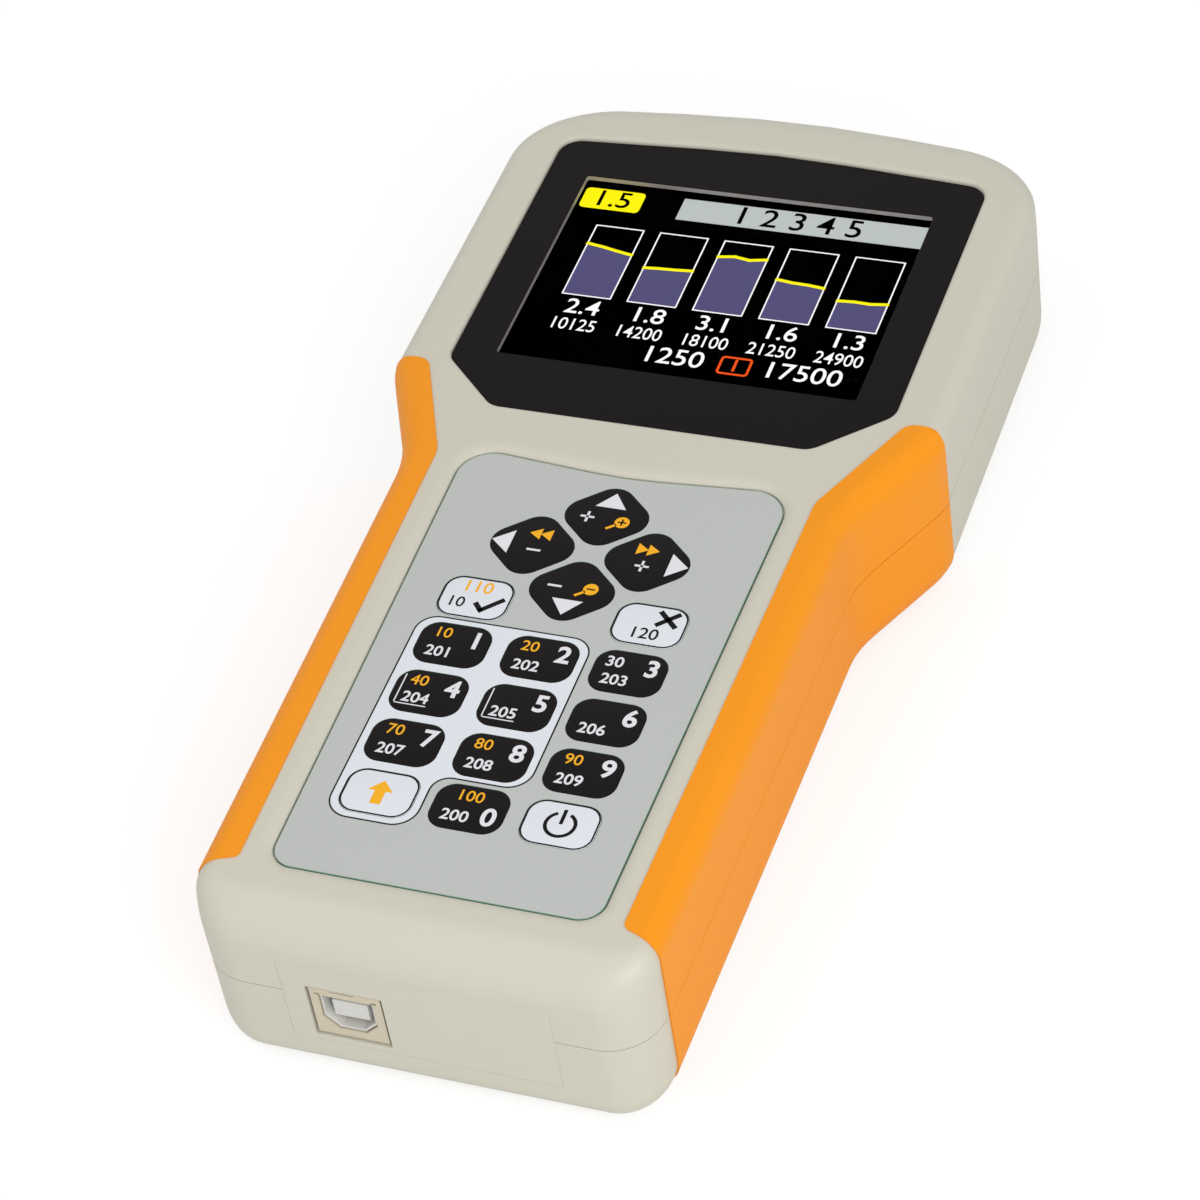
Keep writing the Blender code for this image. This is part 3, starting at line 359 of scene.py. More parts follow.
def turned(name, profile, centre, axis, sides):
    """Solid of revolution through (distance along axis, radius) pairs, flat at both ends."""
    rings = []
    for distance, radius in profile:
        ring = []
        for index in range(sides):
            angle = math.tau * index / sides
            across, up = radius * math.cos(angle), radius * math.sin(angle)
            offset = (across, distance, up) if axis == "Y" else (across, up, distance)
            ring.append(Vector(centre) + Vector(offset))
        rings.append(ring)
    return loft(name, rings)


def combine(target, tool, operation):
    """Apply a Boolean to target and remove the tool."""
    step = target.modifiers.new("cut", "BOOLEAN")
    step.operation = operation
    step.solver = "EXACT"
    step.object = tool
    apply_modifiers(target)
    bpy.data.objects.remove(tool, do_unlink=True)
    return target


def apply_modifiers(made):
    """Replace the mesh with its evaluated one and drop the modifiers."""
    graph = bpy.context.evaluated_depsgraph_get()
    result = bpy.data.meshes.new_from_object(made.evaluated_get(graph), depsgraph=graph)
    made.modifiers.clear()
    old = made.data
    made.data = result
    bpy.data.meshes.remove(old)
    return made


def cut(target, tool):
    return combine(target, tool, "DIFFERENCE")


def join(target, tool):
    return combine(target, tool, "UNION")


def finish(made, paints, body, replaced=(), sharp=math.radians(38.0), weighted=True):
    """Shade a piece, give it its materials and let it ride on its body."""
    for paint in paints:
        if paint.name not in made.data.materials:
            made.data.materials.append(paint)
    made.data.shade_smooth()
    made.data.set_sharp_from_angle(angle=sharp)
    if weighted:
        step = made.modifiers.new("normals", "WEIGHTED_NORMAL")
        step.keep_sharp = True
    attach(made, body)
    if replaced:
        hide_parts(*replaced)
    return made


# Repeats made with Geometry Nodes


def repeat_tree():
    """Node tree that puts one piece on each point of a mesh."""
    tree = bpy.data.node_groups.new("repeat_on_points", "GeometryNodeTree")
    tree.interface.new_socket("Geometry", in_out="INPUT", socket_type="NodeSocketGeometry")
    tree.interface.new_socket("Piece", in_out="INPUT", socket_type="NodeSocketObject")
    tree.interface.new_socket("Size", in_out="INPUT", socket_type="NodeSocketFloat")
    tree.interface.new_socket("Finish", in_out="INPUT", socket_type="NodeSocketMaterial")
    tree.interface.new_socket("Geometry", in_out="OUTPUT", socket_type="NodeSocketGeometry")
    given = tree.nodes.new("NodeGroupInput")
    piece = tree.nodes.new("GeometryNodeObjectInfo")
    spread = tree.nodes.new("GeometryNodeInstanceOnPoints")
    solid = tree.nodes.new("GeometryNodeRealizeInstances")
    paint = tree.nodes.new("GeometryNodeSetMaterial")
    result = tree.nodes.new("NodeGroupOutput")
    tree.links.new(given.outputs["Piece"], piece.inputs["Object"])
    tree.links.new(given.outputs["Geometry"], spread.inputs["Points"])
    tree.links.new(piece.outputs["Geometry"], spread.inputs["Instance"])
    tree.links.new(given.outputs["Size"], spread.inputs["Scale"])
    tree.links.new(spread.outputs["Instances"], solid.inputs["Geometry"])
    tree.links.new(solid.outputs["Geometry"], paint.inputs["Geometry"])
    tree.links.new(given.outputs["Finish"], paint.inputs["Material"])
    tree.links.new(paint.outputs["Geometry"], result.inputs["Geometry"])
    return tree


def repeated(name, piece, places, paint):
    """One mesh with the piece at each place. The piece itself is removed."""
    mesh = bpy.data.meshes.new(name)
    mesh.from_pydata(places, [], [])
    made = bpy.data.objects.new(name, mesh)
    bpy.context.scene.collection.objects.link(made)
    tree = bpy.data.node_groups.get("repeat_on_points") or repeat_tree()
    step = made.modifiers.new("repeat", "NODES")
    step.node_group = tree
    values = {"Piece": piece, "Size": 1.0, "Finish": paint}
    for item in tree.interface.items_tree:
        if item.in_out == "INPUT" and item.name in values:
            step[item.identifier] = values[item.name]
    apply_modifiers(made)
    bpy.data.objects.remove(piece, do_unlink=True)
    return made


# Case shapes


def case_outline(arc_step):
    apex = upper_end + head_arch_radius * (1 / math.cos(head_arch_angle) - 1)
    head_corner = apex - head_half_width * math.tan(head_arch_angle)
    right_side = [
        (foot_half_width, lower_end, foot_corner_radius),
        (waist_half_width, waist_y, waist_blend_radius),
        (head_half_width, shoulder_y, shoulder_blend_radius),
        (head_half_width, head_corner, head_corner_radius),
        (0, apex, head_arch_radius),
    ]
    return rounded_outline(mirrored(right_side), arc_step)


def front_inset(radius, height, depth):
    """Inset of a rounded front edge at a height, for a surface some depth below the outside."""
    rise = height - case_thickness + radius
    if rise <= 0:
        return depth
    reach = radius - depth
    return radius - math.sqrt(max(reach * reach - rise * rise, 0))


def front_rings(depth, low, settings):
    """Rings of the front half at a depth below its surface, from the seam up."""
    outline = case_outline(settings.arc_step)
    rings = [ring_at(outline, low, depth, depth)]
    top = case_thickness - depth
    start = case_thickness - front_end_radius
    span = math.pi / 2
    for step in range(settings.edge_steps + 1):
        height = start + (top - start) * math.sin(span * step / settings.edge_steps)
        rings.append(ring_at(outline, height, front_inset(front_side_radius, height, depth),
                             front_inset(front_end_radius, height, depth)))
    return rings


def rear_end_inset(height, depth):
    radius = rear_end_radius - depth
    drop = rear_end_radius - height
    if drop <= 0:
        return depth
    return rear_end_radius - math.sqrt(max(radius * radius - drop * drop, 0))


def rear_rings(depth, high, settings):
    """Rings of the rear half at a depth below its surface, from the rear face up."""
    outline = case_outline(settings.arc_step)
    rings = []
    steps = settings.edge_steps + 4
    for step in range(steps + 1):
        angle = math.pi / 2 * (1 - step / steps)
        inset = rear_side_inset - (rear_side_inset - depth) * math.cos(angle)
        height = rear_side_rise - (rear_side_rise - depth) * math.sin(angle)
        rings.append(ring_at(outline, height, inset, rear_end_inset(height, depth)))
    rings.append(ring_at(outline, high, depth, depth))
    return rings


def recess(name, outline, floor, rim, lip_width, lip_height):
    """Cutter whose walls flare out over a rounded lip at the rim."""
    steps = 8
    levels = [(floor, 0)]
    for step in range(steps + 1):
        turn = math.radians(88.0) * step / steps
        levels.append((rim - lip_height * (1 - math.sin(turn)), lip_width * (1 - math.cos(turn))))
    levels.append((rim + overrun, levels[-1][1] + overrun))
    return loft(name, levels_of(outline, levels))


def bezel_outline(arc_step):
    corner = bezel_top_y - bezel_half_width * math.tan(bezel_arch_angle)
    right_side = [
        (bezel_chamfer_half_width, bezel_bottom_y, bezel_corner_radius),
        (bezel_half_width, bezel_chamfer_y, bezel_corner_radius),
        (bezel_half_width, corner, bezel_corner_radius),
        (0, bezel_top_y, head_arch_radius),
    ]
    return rounded_outline(mirrored(right_side), arc_step)


def foil_outline(arc_step):
    right_side = [
        (foil_foot_half_width, foil_foot_y, foil_foot_radius),
        (foil_head_half_width, foil_head_y, foil_head_radius),
        (0, foil_head_y - foil_head_dip, foil_dip_radius),
    ]
    return rounded_outline(mirrored(right_side), arc_step)


def grip_outline(inward_shift, arc_step):
    outside = head_half_width + wall
    foot_drop = grip_foot_slant * inward_shift / (outside - grip_inner_foot)
    tip_end = grip_tip_inner + grip_tip_width
    if inward_shift:
        slope = (grip_tip_y - grip_side_y) / (outside - tip_end)
        tip = grip_tip_inner + inward_shift
        tip_corners = [(tip, grip_tip_y + slope * (tip_end - tip), grip_corner_radius)]
    else:
        tip_corners = [(tip_end, grip_tip_y, grip_corner_radius), (grip_tip_inner, grip_tip_y, grip_tip_radius)]
    corners = [
        (grip_inner_foot + inward_shift, grip_foot_y - foot_drop, grip_corner_radius),
        (outside, grip_foot_y - grip_foot_slant, 0),
        (outside, grip_side_y, 0),
        *tip_corners,
        (grip_inner_waist + inward_shift, grip_bend_y, grip_bend_radius),
    ]
    return rounded_outline(corners, arc_step)


def end_panel_cutter(margin):
    low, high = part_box("lower_end_panel")
    flange = 0.0012
    return box("opening", (low.x + flange - margin, high.x - flange + margin),
               (lower_end - overrun, lower_end + wall + overrun),
               (low.z + flange - margin, high.z - flange + margin))


def pocket_cutter(arc_step):
    gap = 0.0001
    return end_prism("opening", 2 * (pocket_half_width + pocket_wall + gap), pocket_height + 2 * (pocket_wall + gap),
                     pocket_corner_radius, (upper_end - 3 * wall, upper_end + overrun), arc_step)


# Finishes


def blank_material(name):
    paint = bpy.data.materials.new(name)
    paint.use_nodes = True
    return paint, paint.node_tree.nodes, paint.node_tree.links, paint.node_tree.nodes["Principled BSDF"]


def moulded(name, colour, roughness=0.5, mottle=0.03, mottle_scale=30.0, grain_scale=2600.0, grain=0.06,
            metallic=0.0, specular=0.5, stretch=(1.0, 1.0, 1.0), coat=0.0, glow=0.0, cells=False):
    """Solid finish with slow colour drift, a fine surface grain and uneven gloss."""
    paint, made, links, shader = blank_material(name)
    place = made.new("ShaderNodeTexCoord")
    turn = made.new("ShaderNodeMapping")
    turn.inputs["Scale"].default_value = stretch
    links.new(place.outputs["Object"], turn.inputs["Vector"])
    drift = made.new("ShaderNodeTexNoise")
    drift.inputs["Scale"].default_value = mottle_scale
    drift.inputs["Detail"].default_value = 3.0
    links.new(place.outputs["Object"], drift.inputs["Vector"])
    blend = made.new("ShaderNodeMix")
    blend.data_type = "RGBA"
    blend.inputs["A"].default_value = (*[c * (1 - mottle) for c in colour], 1)
    blend.inputs["B"].default_value = (*[min(c * (1 + mottle), 1) for c in colour], 1)
    links.new(drift.outputs["Fac"], blend.inputs["Factor"])
    links.new(blend.outputs["Result"], shader.inputs["Base Color"])
    fine = made.new("ShaderNodeTexVoronoi" if cells else "ShaderNodeTexNoise")
    fine.inputs["Scale"].default_value = grain_scale
    links.new(turn.outputs["Vector"], fine.inputs["Vector"])
    relief = made.new("ShaderNodeBump")
    relief.inputs["Strength"].default_value = grain
    relief.inputs["Distance"].default_value = 0.0002
    links.new(fine.outputs["Distance" if cells else "Fac"], relief.inputs["Height"])
    links.new(relief.outputs["Normal"], shader.inputs["Normal"])
    gloss = made.new("ShaderNodeMapRange")
    gloss.inputs["To Min"].default_value = roughness * 0.9
    gloss.inputs["To Max"].default_value = min(roughness * 1.1, 1)
    links.new(drift.outputs["Fac"], gloss.inputs["Value"])
    links.new(gloss.outputs["Result"], shader.inputs["Roughness"])
    shader.inputs["Metallic"].default_value = metallic
    shader.inputs["Specular IOR Level"].default_value = specular
    shader.inputs["Coat Weight"].default_value = coat
    if glow:
        links.new(blend.outputs["Result"], shader.inputs["Emission Color"])
        shader.inputs["Emission Strength"].default_value = glow
    return paint


def lit(name, colour, glow):
    """Glowing display colour over a fine grid of dots."""
    paint, made, links, shader = blank_material(name)
    place = made.new("ShaderNodeTexCoord")
    dots = made.new("ShaderNodeTexVoronoi")
    dots.distance = "CHEBYCHEV"
    dots.inputs["Scale"].default_value = 5000.0
    dots.inputs["Randomness"].default_value = 0.0
    links.new(place.outputs["Object"], dots.inputs["Vector"])
    shade = made.new("ShaderNodeMapRange")
    shade.inputs["To Min"].default_value = 1.0
    shade.inputs["To Max"].default_value = 0.93
    links.new(dots.outputs["Distance"], shade.inputs["Value"])
    tint = made.new("ShaderNodeMix")
    tint.data_type = "RGBA"
    tint.blend_type = "MULTIPLY"
    tint.inputs["Factor"].default_value = 1.0
    tint.inputs["A"].default_value = (*colour, 1)
    links.new(shade.outputs["Result"], tint.inputs["B"])
    links.new(tint.outputs["Result"], shader.inputs["Emission Color"])
    shader.inputs["Base Color"].default_value = (*[c * 0.05 for c in colour], 1)
    shader.inputs["Emission Strength"].default_value = glow
    shader.inputs["Roughness"].default_value = 0.6
    shader.inputs["Specular IOR Level"].default_value = 0.0
    return paint


def clear_pane(name):
    """Thin clear window with a faint unevenness in its polish."""
    paint, made, links, shader = blank_material(name)
    place = made.new("ShaderNodeTexCoord")
    drift = made.new("ShaderNodeTexNoise")
    drift.inputs["Scale"].default_value = 60.0
    links.new(place.outputs["Object"], drift.inputs["Vector"])
    gloss = made.new("ShaderNodeMapRange")
    gloss.inputs["To Min"].default_value = 0.0
    gloss.inputs["To Max"].default_value = 0.004
    links.new(drift.outputs["Fac"], gloss.inputs["Value"])
    links.new(gloss.outputs["Result"], shader.inputs["Roughness"])
    shader.inputs["Base Color"].default_value = (1, 1, 1, 1)
    shader.inputs["Transmission Weight"].default_value = 1.0
    shader.inputs["IOR"].default_value = 1.0
    return paint


def board_finish(name):
    """Green circuit board with paler tracks."""
    paint = moulded(name, tone(20, 92, 50), 0.35, 0.1, 60.0, 1200.0, 0.05)
    made, links = paint.node_tree.nodes, paint.node_tree.links
    place = made.new("ShaderNodeTexCoord")
    tracks = made.new("ShaderNodeTexBrick")
    tracks.inputs["Scale"].default_value = 260.0
    tracks.inputs["Mortar Size"].default_value = 0.06
    tracks.inputs["Color1"].default_value = (*tone(20, 92, 50), 1)
    tracks.inputs["Color2"].default_value = (*tone(24, 100, 56), 1)
    tracks.inputs["Mortar"].default_value = (*tone(70, 150, 90), 1)
    links.new(place.outputs["Object"], tracks.inputs["Vector"])
    links.new(tracks.outputs["Color"], made["Principled BSDF"].inputs["Base Color"])
    return paint


def finishes(settings):
    """All materials, made once, by the name of what they finish."""
    if "case_plastic" in bpy.data.materials:
        return bpy.data.materials
    moulded("case_plastic", settings.case, 0.4, 0.012, 22.0, 2800.0, 0.05, specular=0.38)
    moulded("grip_rubber", settings.grip, 0.46, 0.015, 25.0, 2200.0, 0.1, specular=0.22, cells=True)
    moulded("film_print", settings.film, 0.42, 0.012, 18.0, 4200.0, 0.03, specular=0.3)
    moulded("film_edge", tone(112, 156, 132), 0.4, 0.02, 40.0, 3000.0, 0.03)
    moulded("field_print", settings.field, 0.42, 0.012, 18.0, 4200.0, 0.03, specular=0.3)
    moulded("dark_print", settings.dark, 0.42, 0.08, 120.0, 4200.0, 0.03, specular=0.06)
    moulded("legend_ink", settings.legend, 0.5, 0.02, 90.0, 4200.0, 0.03, specular=0.3)
    moulded("accent_ink", settings.accent, 0.5, 0.03, 90.0, 4200.0, 0.03, specular=0.3)
    moulded("bezel_print", settings.bezel, 0.3, 0.06, 40.0, 4200.0, 0.01, specular=0.05)
    # Painted highlight: pale grey for the cut walls of the display opening, standing in for light catching the black
    # bezel's edge
    moulded("bezel_edge", tone(152, 147, 145), 0.5, 0.05, 60.0, 3000.0, 0.04)
    moulded("display_glass", tone(1, 1, 1), 0.5, 0.1, 50.0, 3000.0, 0.0, specular=0.0)
    moulded("socket_plate", tone(208, 198, 176), 0.42, 0.04, 300.0, 3000.0, 0.05, metallic=0.25)
    moulded("white_insulator", tone(212, 211, 206), 0.42, 0.02, 80.0, 2600.0, 0.04)
    moulded("nickel_plate", tone(206, 203, 196), 0.24, 0.05, 120.0, 900.0, 0.05, metallic=1.0, stretch=(1, 6, 1))
    moulded("contact_brass", tone(222, 184, 104), 0.28, 0.06, 200.0, 1500.0, 0.05, metallic=1.0)
    moulded("tinned_sheet", tone(190, 190, 186), 0.36, 0.05, 90.0, 1400.0, 0.06, metallic=1.0, stretch=(1, 8, 1))
    moulded("zinc_screw", tone(150, 152, 156), 0.34, 0.08, 260.0, 2400.0, 0.08, metallic=1.0)
    moulded("cell_jacket", tone(40, 44, 60), 0.3, 0.05, 60.0, 2000.0, 0.03, coat=0.4)
    moulded("cell_band", tone(196, 128, 62), 0.32, 0.05, 60.0, 2000.0, 0.03, metallic=0.6)
    moulded("component_black", tone(34, 34, 36), 0.5, 0.1, 200.0, 2600.0, 0.1)
    clear_pane("window_clear")
    board_finish("board_green")
    return bpy.data.materials


def lit_colours(settings, glow):
    return [
        lit("lit_white", tone(250, 250, 250), glow),
        lit("lit_header", tone(186, 193, 190), glow),
        lit("lit_trace", settings.trace, glow),
        lit("lit_bar", settings.bar, glow),
        lit("lit_mark", tone(240, 84, 30), glow),
        moulded("unlit_ink", tone(4, 4, 4), 0.6, 0.05, 90.0, 3000.0, 0.01, specular=0.0),
    ]


# Flat print


class Print:
    """Collects flat marks of one thickness on a plane, each with its colour's number."""

    def __init__(self, low, thickness, origin=(0, 0)):
        self.builder = bmesh.new()
        self.low = low
        self.thickness = thickness
        self.origin = origin

    def plate(self, points, colour, layer=0):
        low = self.low + layer * self.thickness
        old = len(self.builder.faces)
        x0, y0 = self.origin
        add_loft(self.builder, [[(x + x0, y + y0, z) for x, y in points] for z in (low, low + self.thickness)])
        self.paint_since(old, colour)

    def band(self, outer, inner, colour, layer=0):
        low = self.low + layer * self.thickness
        high = low + self.thickness
        old = len(self.builder.faces)
        x0, y0 = self.origin
        loops = [[(p[0] + x0, p[1] + y0, z) for p in loop] for loop, z in (
            (outer, low), (outer, high), (inner, high), (inner, low), (outer, low))]
        add_rows(self.builder, loops)
        self.paint_since(old, colour)

    def arc(self, radius, width, start, end, colour, layer=0, sides=28):
        turns = [start + (end - start) * step / sides for step in range(sides + 1)]
        outer = [((radius + width / 2) * math.cos(t), (radius + width / 2) * math.sin(t)) for t in turns]
        inner = [((radius - width / 2) * math.cos(t), (radius - width / 2) * math.sin(t)) for t in reversed(turns)]
        self.plate(outer + inner, colour, layer)

    def stroke(self, start, end, width, colour, layer=0):
        along = Vector(end) - Vector(start)
        along.normalize()
        across = Vector((-along.y, along.x)) * width / 2
        reach = along * width / 2
        corners = (Vector(start) - reach - across, Vector(end) + reach - across,
                   Vector(end) + reach + across, Vector(start) - reach + across)
        self.plate([tuple(c) for c in corners], colour, layer)

    def text(self, words, size, x, y, colour, layer=0, bold=0.0, squeeze=1.0):
        curve = bpy.data.curves.new("words", "FONT")
        curve.body = words
        curve.size = size
        curve.offset = bold * size
        curve.align_x = "CENTER"
        curve.align_y = "CENTER"
        curve.extrude = self.thickness / 2
        curve.resolution_u = 6
        holder = bpy.data.objects.new("words", curve)
        bpy.context.scene.collection.objects.link(holder)
        graph = bpy.context.evaluated_depsgraph_get()
        mesh = bpy.data.meshes.new_from_object(holder.evaluated_get(graph), depsgraph=graph)
        middle = self.low + (layer + 0.5) * self.thickness
        place = Matrix.Translation((x + self.origin[0], y + self.origin[1], middle))
        mesh.transform(place @ Matrix.Diagonal((squeeze, 1, 1, 1)))
        old = len(self.builder.faces)
        self.builder.from_mesh(mesh)
        self.paint_since(old, colour)
        bpy.data.objects.remove(holder, do_unlink=True)
        bpy.data.meshes.remove(mesh)

    def paint_since(self, old, colour):
        self.builder.faces.ensure_lookup_table()
        for face in self.builder.faces[old:]:
            face.material_index = colour

    def made(self, name, paints):
        bmesh.ops.remove_doubles(self.builder, verts=self.builder.verts[:], dist=1e-7)
        made = object_from(self.builder, name)
        for paint in paints:
            made.data.materials.append(paint)
        return made


def absorb(target, extra):
    """Move the faces of extra into target, keeping both sets of materials."""
    builder = bmesh.new()
    builder.from_mesh(target.data)
    offset = len(target.data.materials)
    old = len(builder.faces)
    builder.from_mesh(extra.data)
    builder.faces.ensure_lookup_table()
    for face in builder.faces[old:]:
        face.material_index += offset
    builder.to_mesh(target.data)
    builder.free()
    for paint in extra.data.materials:
        target.data.materials.append(paint)
    bpy.data.objects.remove(extra, do_unlink=True)
    return target


def key_centre(name):
    low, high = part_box(name)
    return (low.x + high.x) / 2, (low.y + high.y) / 2


def key_outline(name, arc_step):
    if name in DIAMONDS:
        corners = [(0, -diamond_half_height), (diamond_half_width, 0), (0, diamond_half_height),
                   (-diamond_half_width, 0)]
        return rounded_outline([(x, y, diamond_corner_radius) for x, y in corners], arc_step)
    return rounded_rectangle(key_width, key_height, key_corner_radius, arc_step)


def field_outline(arc_step):
    """Outline of the pale field that holds six number keys and the function key."""
    left = key_centre("key_f")[0] - 0.0075
    right = key_centre("key_8")[0] + 0.0075
    step = key_centre("key_f")[0] + 0.0075
    top = key_centre("key_1")[1] + 0.0057
    middle = key_centre("key_8")[1] - 0.0055
    bottom = key_centre("key_f")[1] - 0.0058
    corners = [(left, bottom, 0.0040), (step, bottom, 0.0040), (step, middle, 0.0030),
               (right, middle, 0.0040), (right, top, 0.0036), (left, top, 0.0036)]
    return rounded_outline(corners, arc_step)


# Operators


class PieceMaker:
    bl_options = {"REGISTER", "UNDO"}

    def execute(self, context):
        self.make(context.scene.analyzer_case, finishes(context.scene.analyzer_finishes), context.scene)
        return {"FINISHED"}


class ANALYZER_OT_stage(PieceMaker, bpy.types.Operator):
    """Floor, lamps, sky and camera"""

    bl_idname = "analyzer.stage"
    bl_label = "Stage"

    def make(self, case, paints, scene):
        studio = scene.analyzer_studio
        floor = bpy.data.objects.new("floor", bpy.data.meshes.new("floor"))
        reach = 4.0
        floor.data.from_pydata([(-reach, -reach, 0), (reach, -reach, 0), (reach, reach, 0), (-reach, reach, 0)],
                               [], [(0, 1, 2, 3)])
        scene.collection.objects.link(floor)
        floor.location.z = -0.0002
        floor.data.materials.append(self.floor_finish())
        self.sky(scene, studio.sky)
        self.lamp(scene, "key_light", (0.42, -0.50, 0.50), 0.5, studio.key_power)
        self.lamp(scene, "top_light", (-0.29, -0.15, 0.80), 0.30, studio.fill_power)
        self.camera(scene, studio)
        scene.view_settings.view_transform = "Standard"

    def floor_finish(self):
        paint, made, links, shader = blank_material("studio_floor")
        shader.inputs["Roughness"].default_value = 0.9
        shader.inputs["Specular IOR Level"].default_value = 0.0
        path = made.new("ShaderNodeLightPath")
        seen = made.new("ShaderNodeMath")
        seen.operation = "MULTIPLY"
        seen.inputs[1].default_value = 0.66
        links.new(path.outputs["Is Camera Ray"], seen.inputs[0])
        tint = made.new("ShaderNodeMix")
        tint.data_type = "RGBA"
        tint.inputs["A"].default_value = (0.88, 0.88, 0.88, 1)
        tint.inputs["B"].default_value = (0.42, 0.42, 0.42, 1)
        links.new(path.outputs["Is Camera Ray"], tint.inputs["Factor"])
        links.new(tint.outputs["Result"], shader.inputs["Base Color"])
        shader.inputs["Emission Color"].default_value = (1, 1, 1, 1)
        links.new(seen.outputs["Value"], shader.inputs["Emission Strength"])
        return paint

    def sky(self, scene, strength):
        world = bpy.data.worlds.new("studio_sky")
        scene.world = world
        world.use_nodes = True
        made, links = world.node_tree.nodes, world.node_tree.links
        path = made.new("ShaderNodeLightPath")
        direct = made.new("ShaderNodeMath")
        direct.operation = "MAXIMUM"
        links.new(path.outputs["Is Camera Ray"], direct.inputs[0])
        links.new(path.outputs["Is Glossy Ray"], direct.inputs[1])
        shown = made.new("ShaderNodeMath")
        shown.operation = "MAXIMUM"
        links.new(direct.outputs["Value"], shown.inputs[0])
        links.new(path.outputs["Is Transmission Ray"], shown.inputs[1])
        level = made.new("ShaderNodeMapRange")
        level.inputs["To Min"].default_value = strength
        level.inputs["To Max"].default_value = 1.0
        links.new(shown.outputs["Value"], level.inputs["Value"])
        links.new(level.outputs["Result"], made["Background"].inputs["Strength"])
        made["Background"].inputs["Color"].default_value = (1, 1, 1, 1)

    def lamp(self, scene, name, place, size, power):
        light = bpy.data.lights.new(name, "AREA")
        light.shape = "DISK"
        light.size = size
        light.energy = power
        made = bpy.data.objects.new(name, light)
        scene.collection.objects.link(made)
        made.location = place
        made.rotation_mode = "QUATERNION"
        made.rotation_quaternion = (-Vector(place)).to_track_quat("-Z", "Y")

    def camera(self, scene, studio):
        made = bpy.data.objects.new("camera", bpy.data.cameras.new("camera"))
        scene.collection.objects.link(made)
        made.data.lens = studio.lens
        made.data.clip_start = 0.01
        turn = (Matrix.Rotation(studio.azimuth, 4, "Z") @ Matrix.Rotation(math.pi / 2 - studio.elevation, 4, "X")
                @ Matrix.Rotation(studio.roll, 4, "Z"))
        made.matrix_world = Matrix.Translation(studio.place) @ turn
        scene.camera = made


class ANALYZER_OT_front_shell(PieceMaker, bpy.types.Operator):
    """Front half of the case with its two lipped recesses"""

    bl_idname = "analyzer.front_shell"
    bl_label = "Front Shell"

    def make(self, case, paints, scene):
        low = seam_height + case.seam_gap / 2
        shell = cup("case_front", front_rings(0, low, case), front_rings(wall, low, case))
        gap = 0.00014
        floor = bezel_low - 0.0002
        cut(shell, recess("bed", grown(bezel_outline(case.arc_step), gap), floor, case_thickness,
                          case.bezel_lip_width, case.bezel_lip_height))
        window_low, window_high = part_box("display_window")
        opening = rounded_rectangle(window_high.x - window_low.x + 2 * gap, window_high.y - window_low.y + 2 * gap,
                                    0.0010, case.arc_step)
        cut(shell, prism("opening", shifted(opening, 0, screen_y), case_thickness - wall - overrun, floor + overrun))
        cut(shell, prism("bed", grown(foil_outline(case.arc_step), 2 * gap), film_low - 0.0002, case_thickness))
        start = math.asin(1 - (case_thickness - film_high) / case.foil_lip_height)
        hidden = case.foil_lip_width * (1 - math.cos(start))
        cut(shell, recess("bed", grown(foil_outline(case.arc_step), 2 * gap - hidden), film_low - 0.0002,
                          case_thickness, case.foil_lip_width, case.foil_lip_height))
        cut(shell, end_panel_cutter(0.00003))
        cut(shell, pocket_cutter(case.arc_step))
        finish(shell, [paints["case_plastic"]], "case", ["front_shell"])


class ANALYZER_OT_rear_shell(PieceMaker, bpy.types.Operator):
    """Rear half of the case with the battery bay and the screw wells"""

    bl_idname = "analyzer.rear_shell"
    bl_label = "Rear Shell"

    def make(self, case, paints, scene):
        high = seam_height - case.seam_gap / 2
        outline = case_outline(case.arc_step)
        tongue = [ring_at(outline, high, 0.0008, 0.0008), ring_at(outline, high + 0.0012, 0.0010, 0.0010),
                  ring_at(outline, high + 0.0012, 0.0020, 0.0020), ring_at(outline, high, wall, wall)]
        outer = list(reversed(rear_rings(0, high, case)))
        inner = tongue + list(reversed(rear_rings(wall, high, case)))[1:]
        shell = cup("case_rear", outer, inner)
        outside = bay_half_width + bay_wall
        join(shell, box("bay", (-outside, outside), (bay_foot_y - bay_wall, bay_head_y + bay_wall),
                        (wall / 2, bay_roof_height + bay_wall)))
        cut(shell, box("bay", (-bay_half_width, bay_half_width), (bay_foot_y, bay_head_y),
                       (-overrun, bay_roof_height)))
        gap = 0.0002
        low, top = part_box("battery_cover")
        cut(shell, box("ledge", (low.x - gap, top.x + gap), (low.y - gap, bay_head_y), (-overrun, 0.0014)))
        for x in (-0.0095, 0.0095):
            cut(shell, box("slot", (x - 0.0033, x + 0.0033), (bay_head_y - overrun, bay_head_y + bay_wall + overrun),
                           (wall, wall + 0.0029)))
        notch = [(-overrun, 0.0085), (0, 0.0070), (0.0006, 0.0052), (0.0009, 0.0030)]
        cut(shell, turned("notch", notch, (0, low.y - gap, 0), "Z", case.round_sides))
        cut(shell, end_panel_cutter(0.00003))
        cut(shell, pocket_cutter(case.arc_step))
        for number in range(1, 5):
            low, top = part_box("case_screw_" + str(number))
            centre = ((low.x + top.x) / 2, (low.y + top.y) / 2, 0)
            join(shell, turned("well", [(wall / 2, 0.0042), (case_screw_seat + 0.002, 0.0042)], centre, "Z",
                               case.round_sides))
            bore = [(-overrun, case_screw_bore + 0.0012), (0.0004, case_screw_bore), (case_screw_seat, case_screw_bore)]
            cut(shell, turned("bore", bore, centre, "Z", case.round_sides))
            cut(shell, turned("hole", [(case_screw_seat - overrun, 0.0016), (case_screw_seat + 0.003, 0.0016)],
                              centre, "Z", case.round_sides))
        finish(shell, [paints["case_plastic"]], "case", ["rear_shell"])


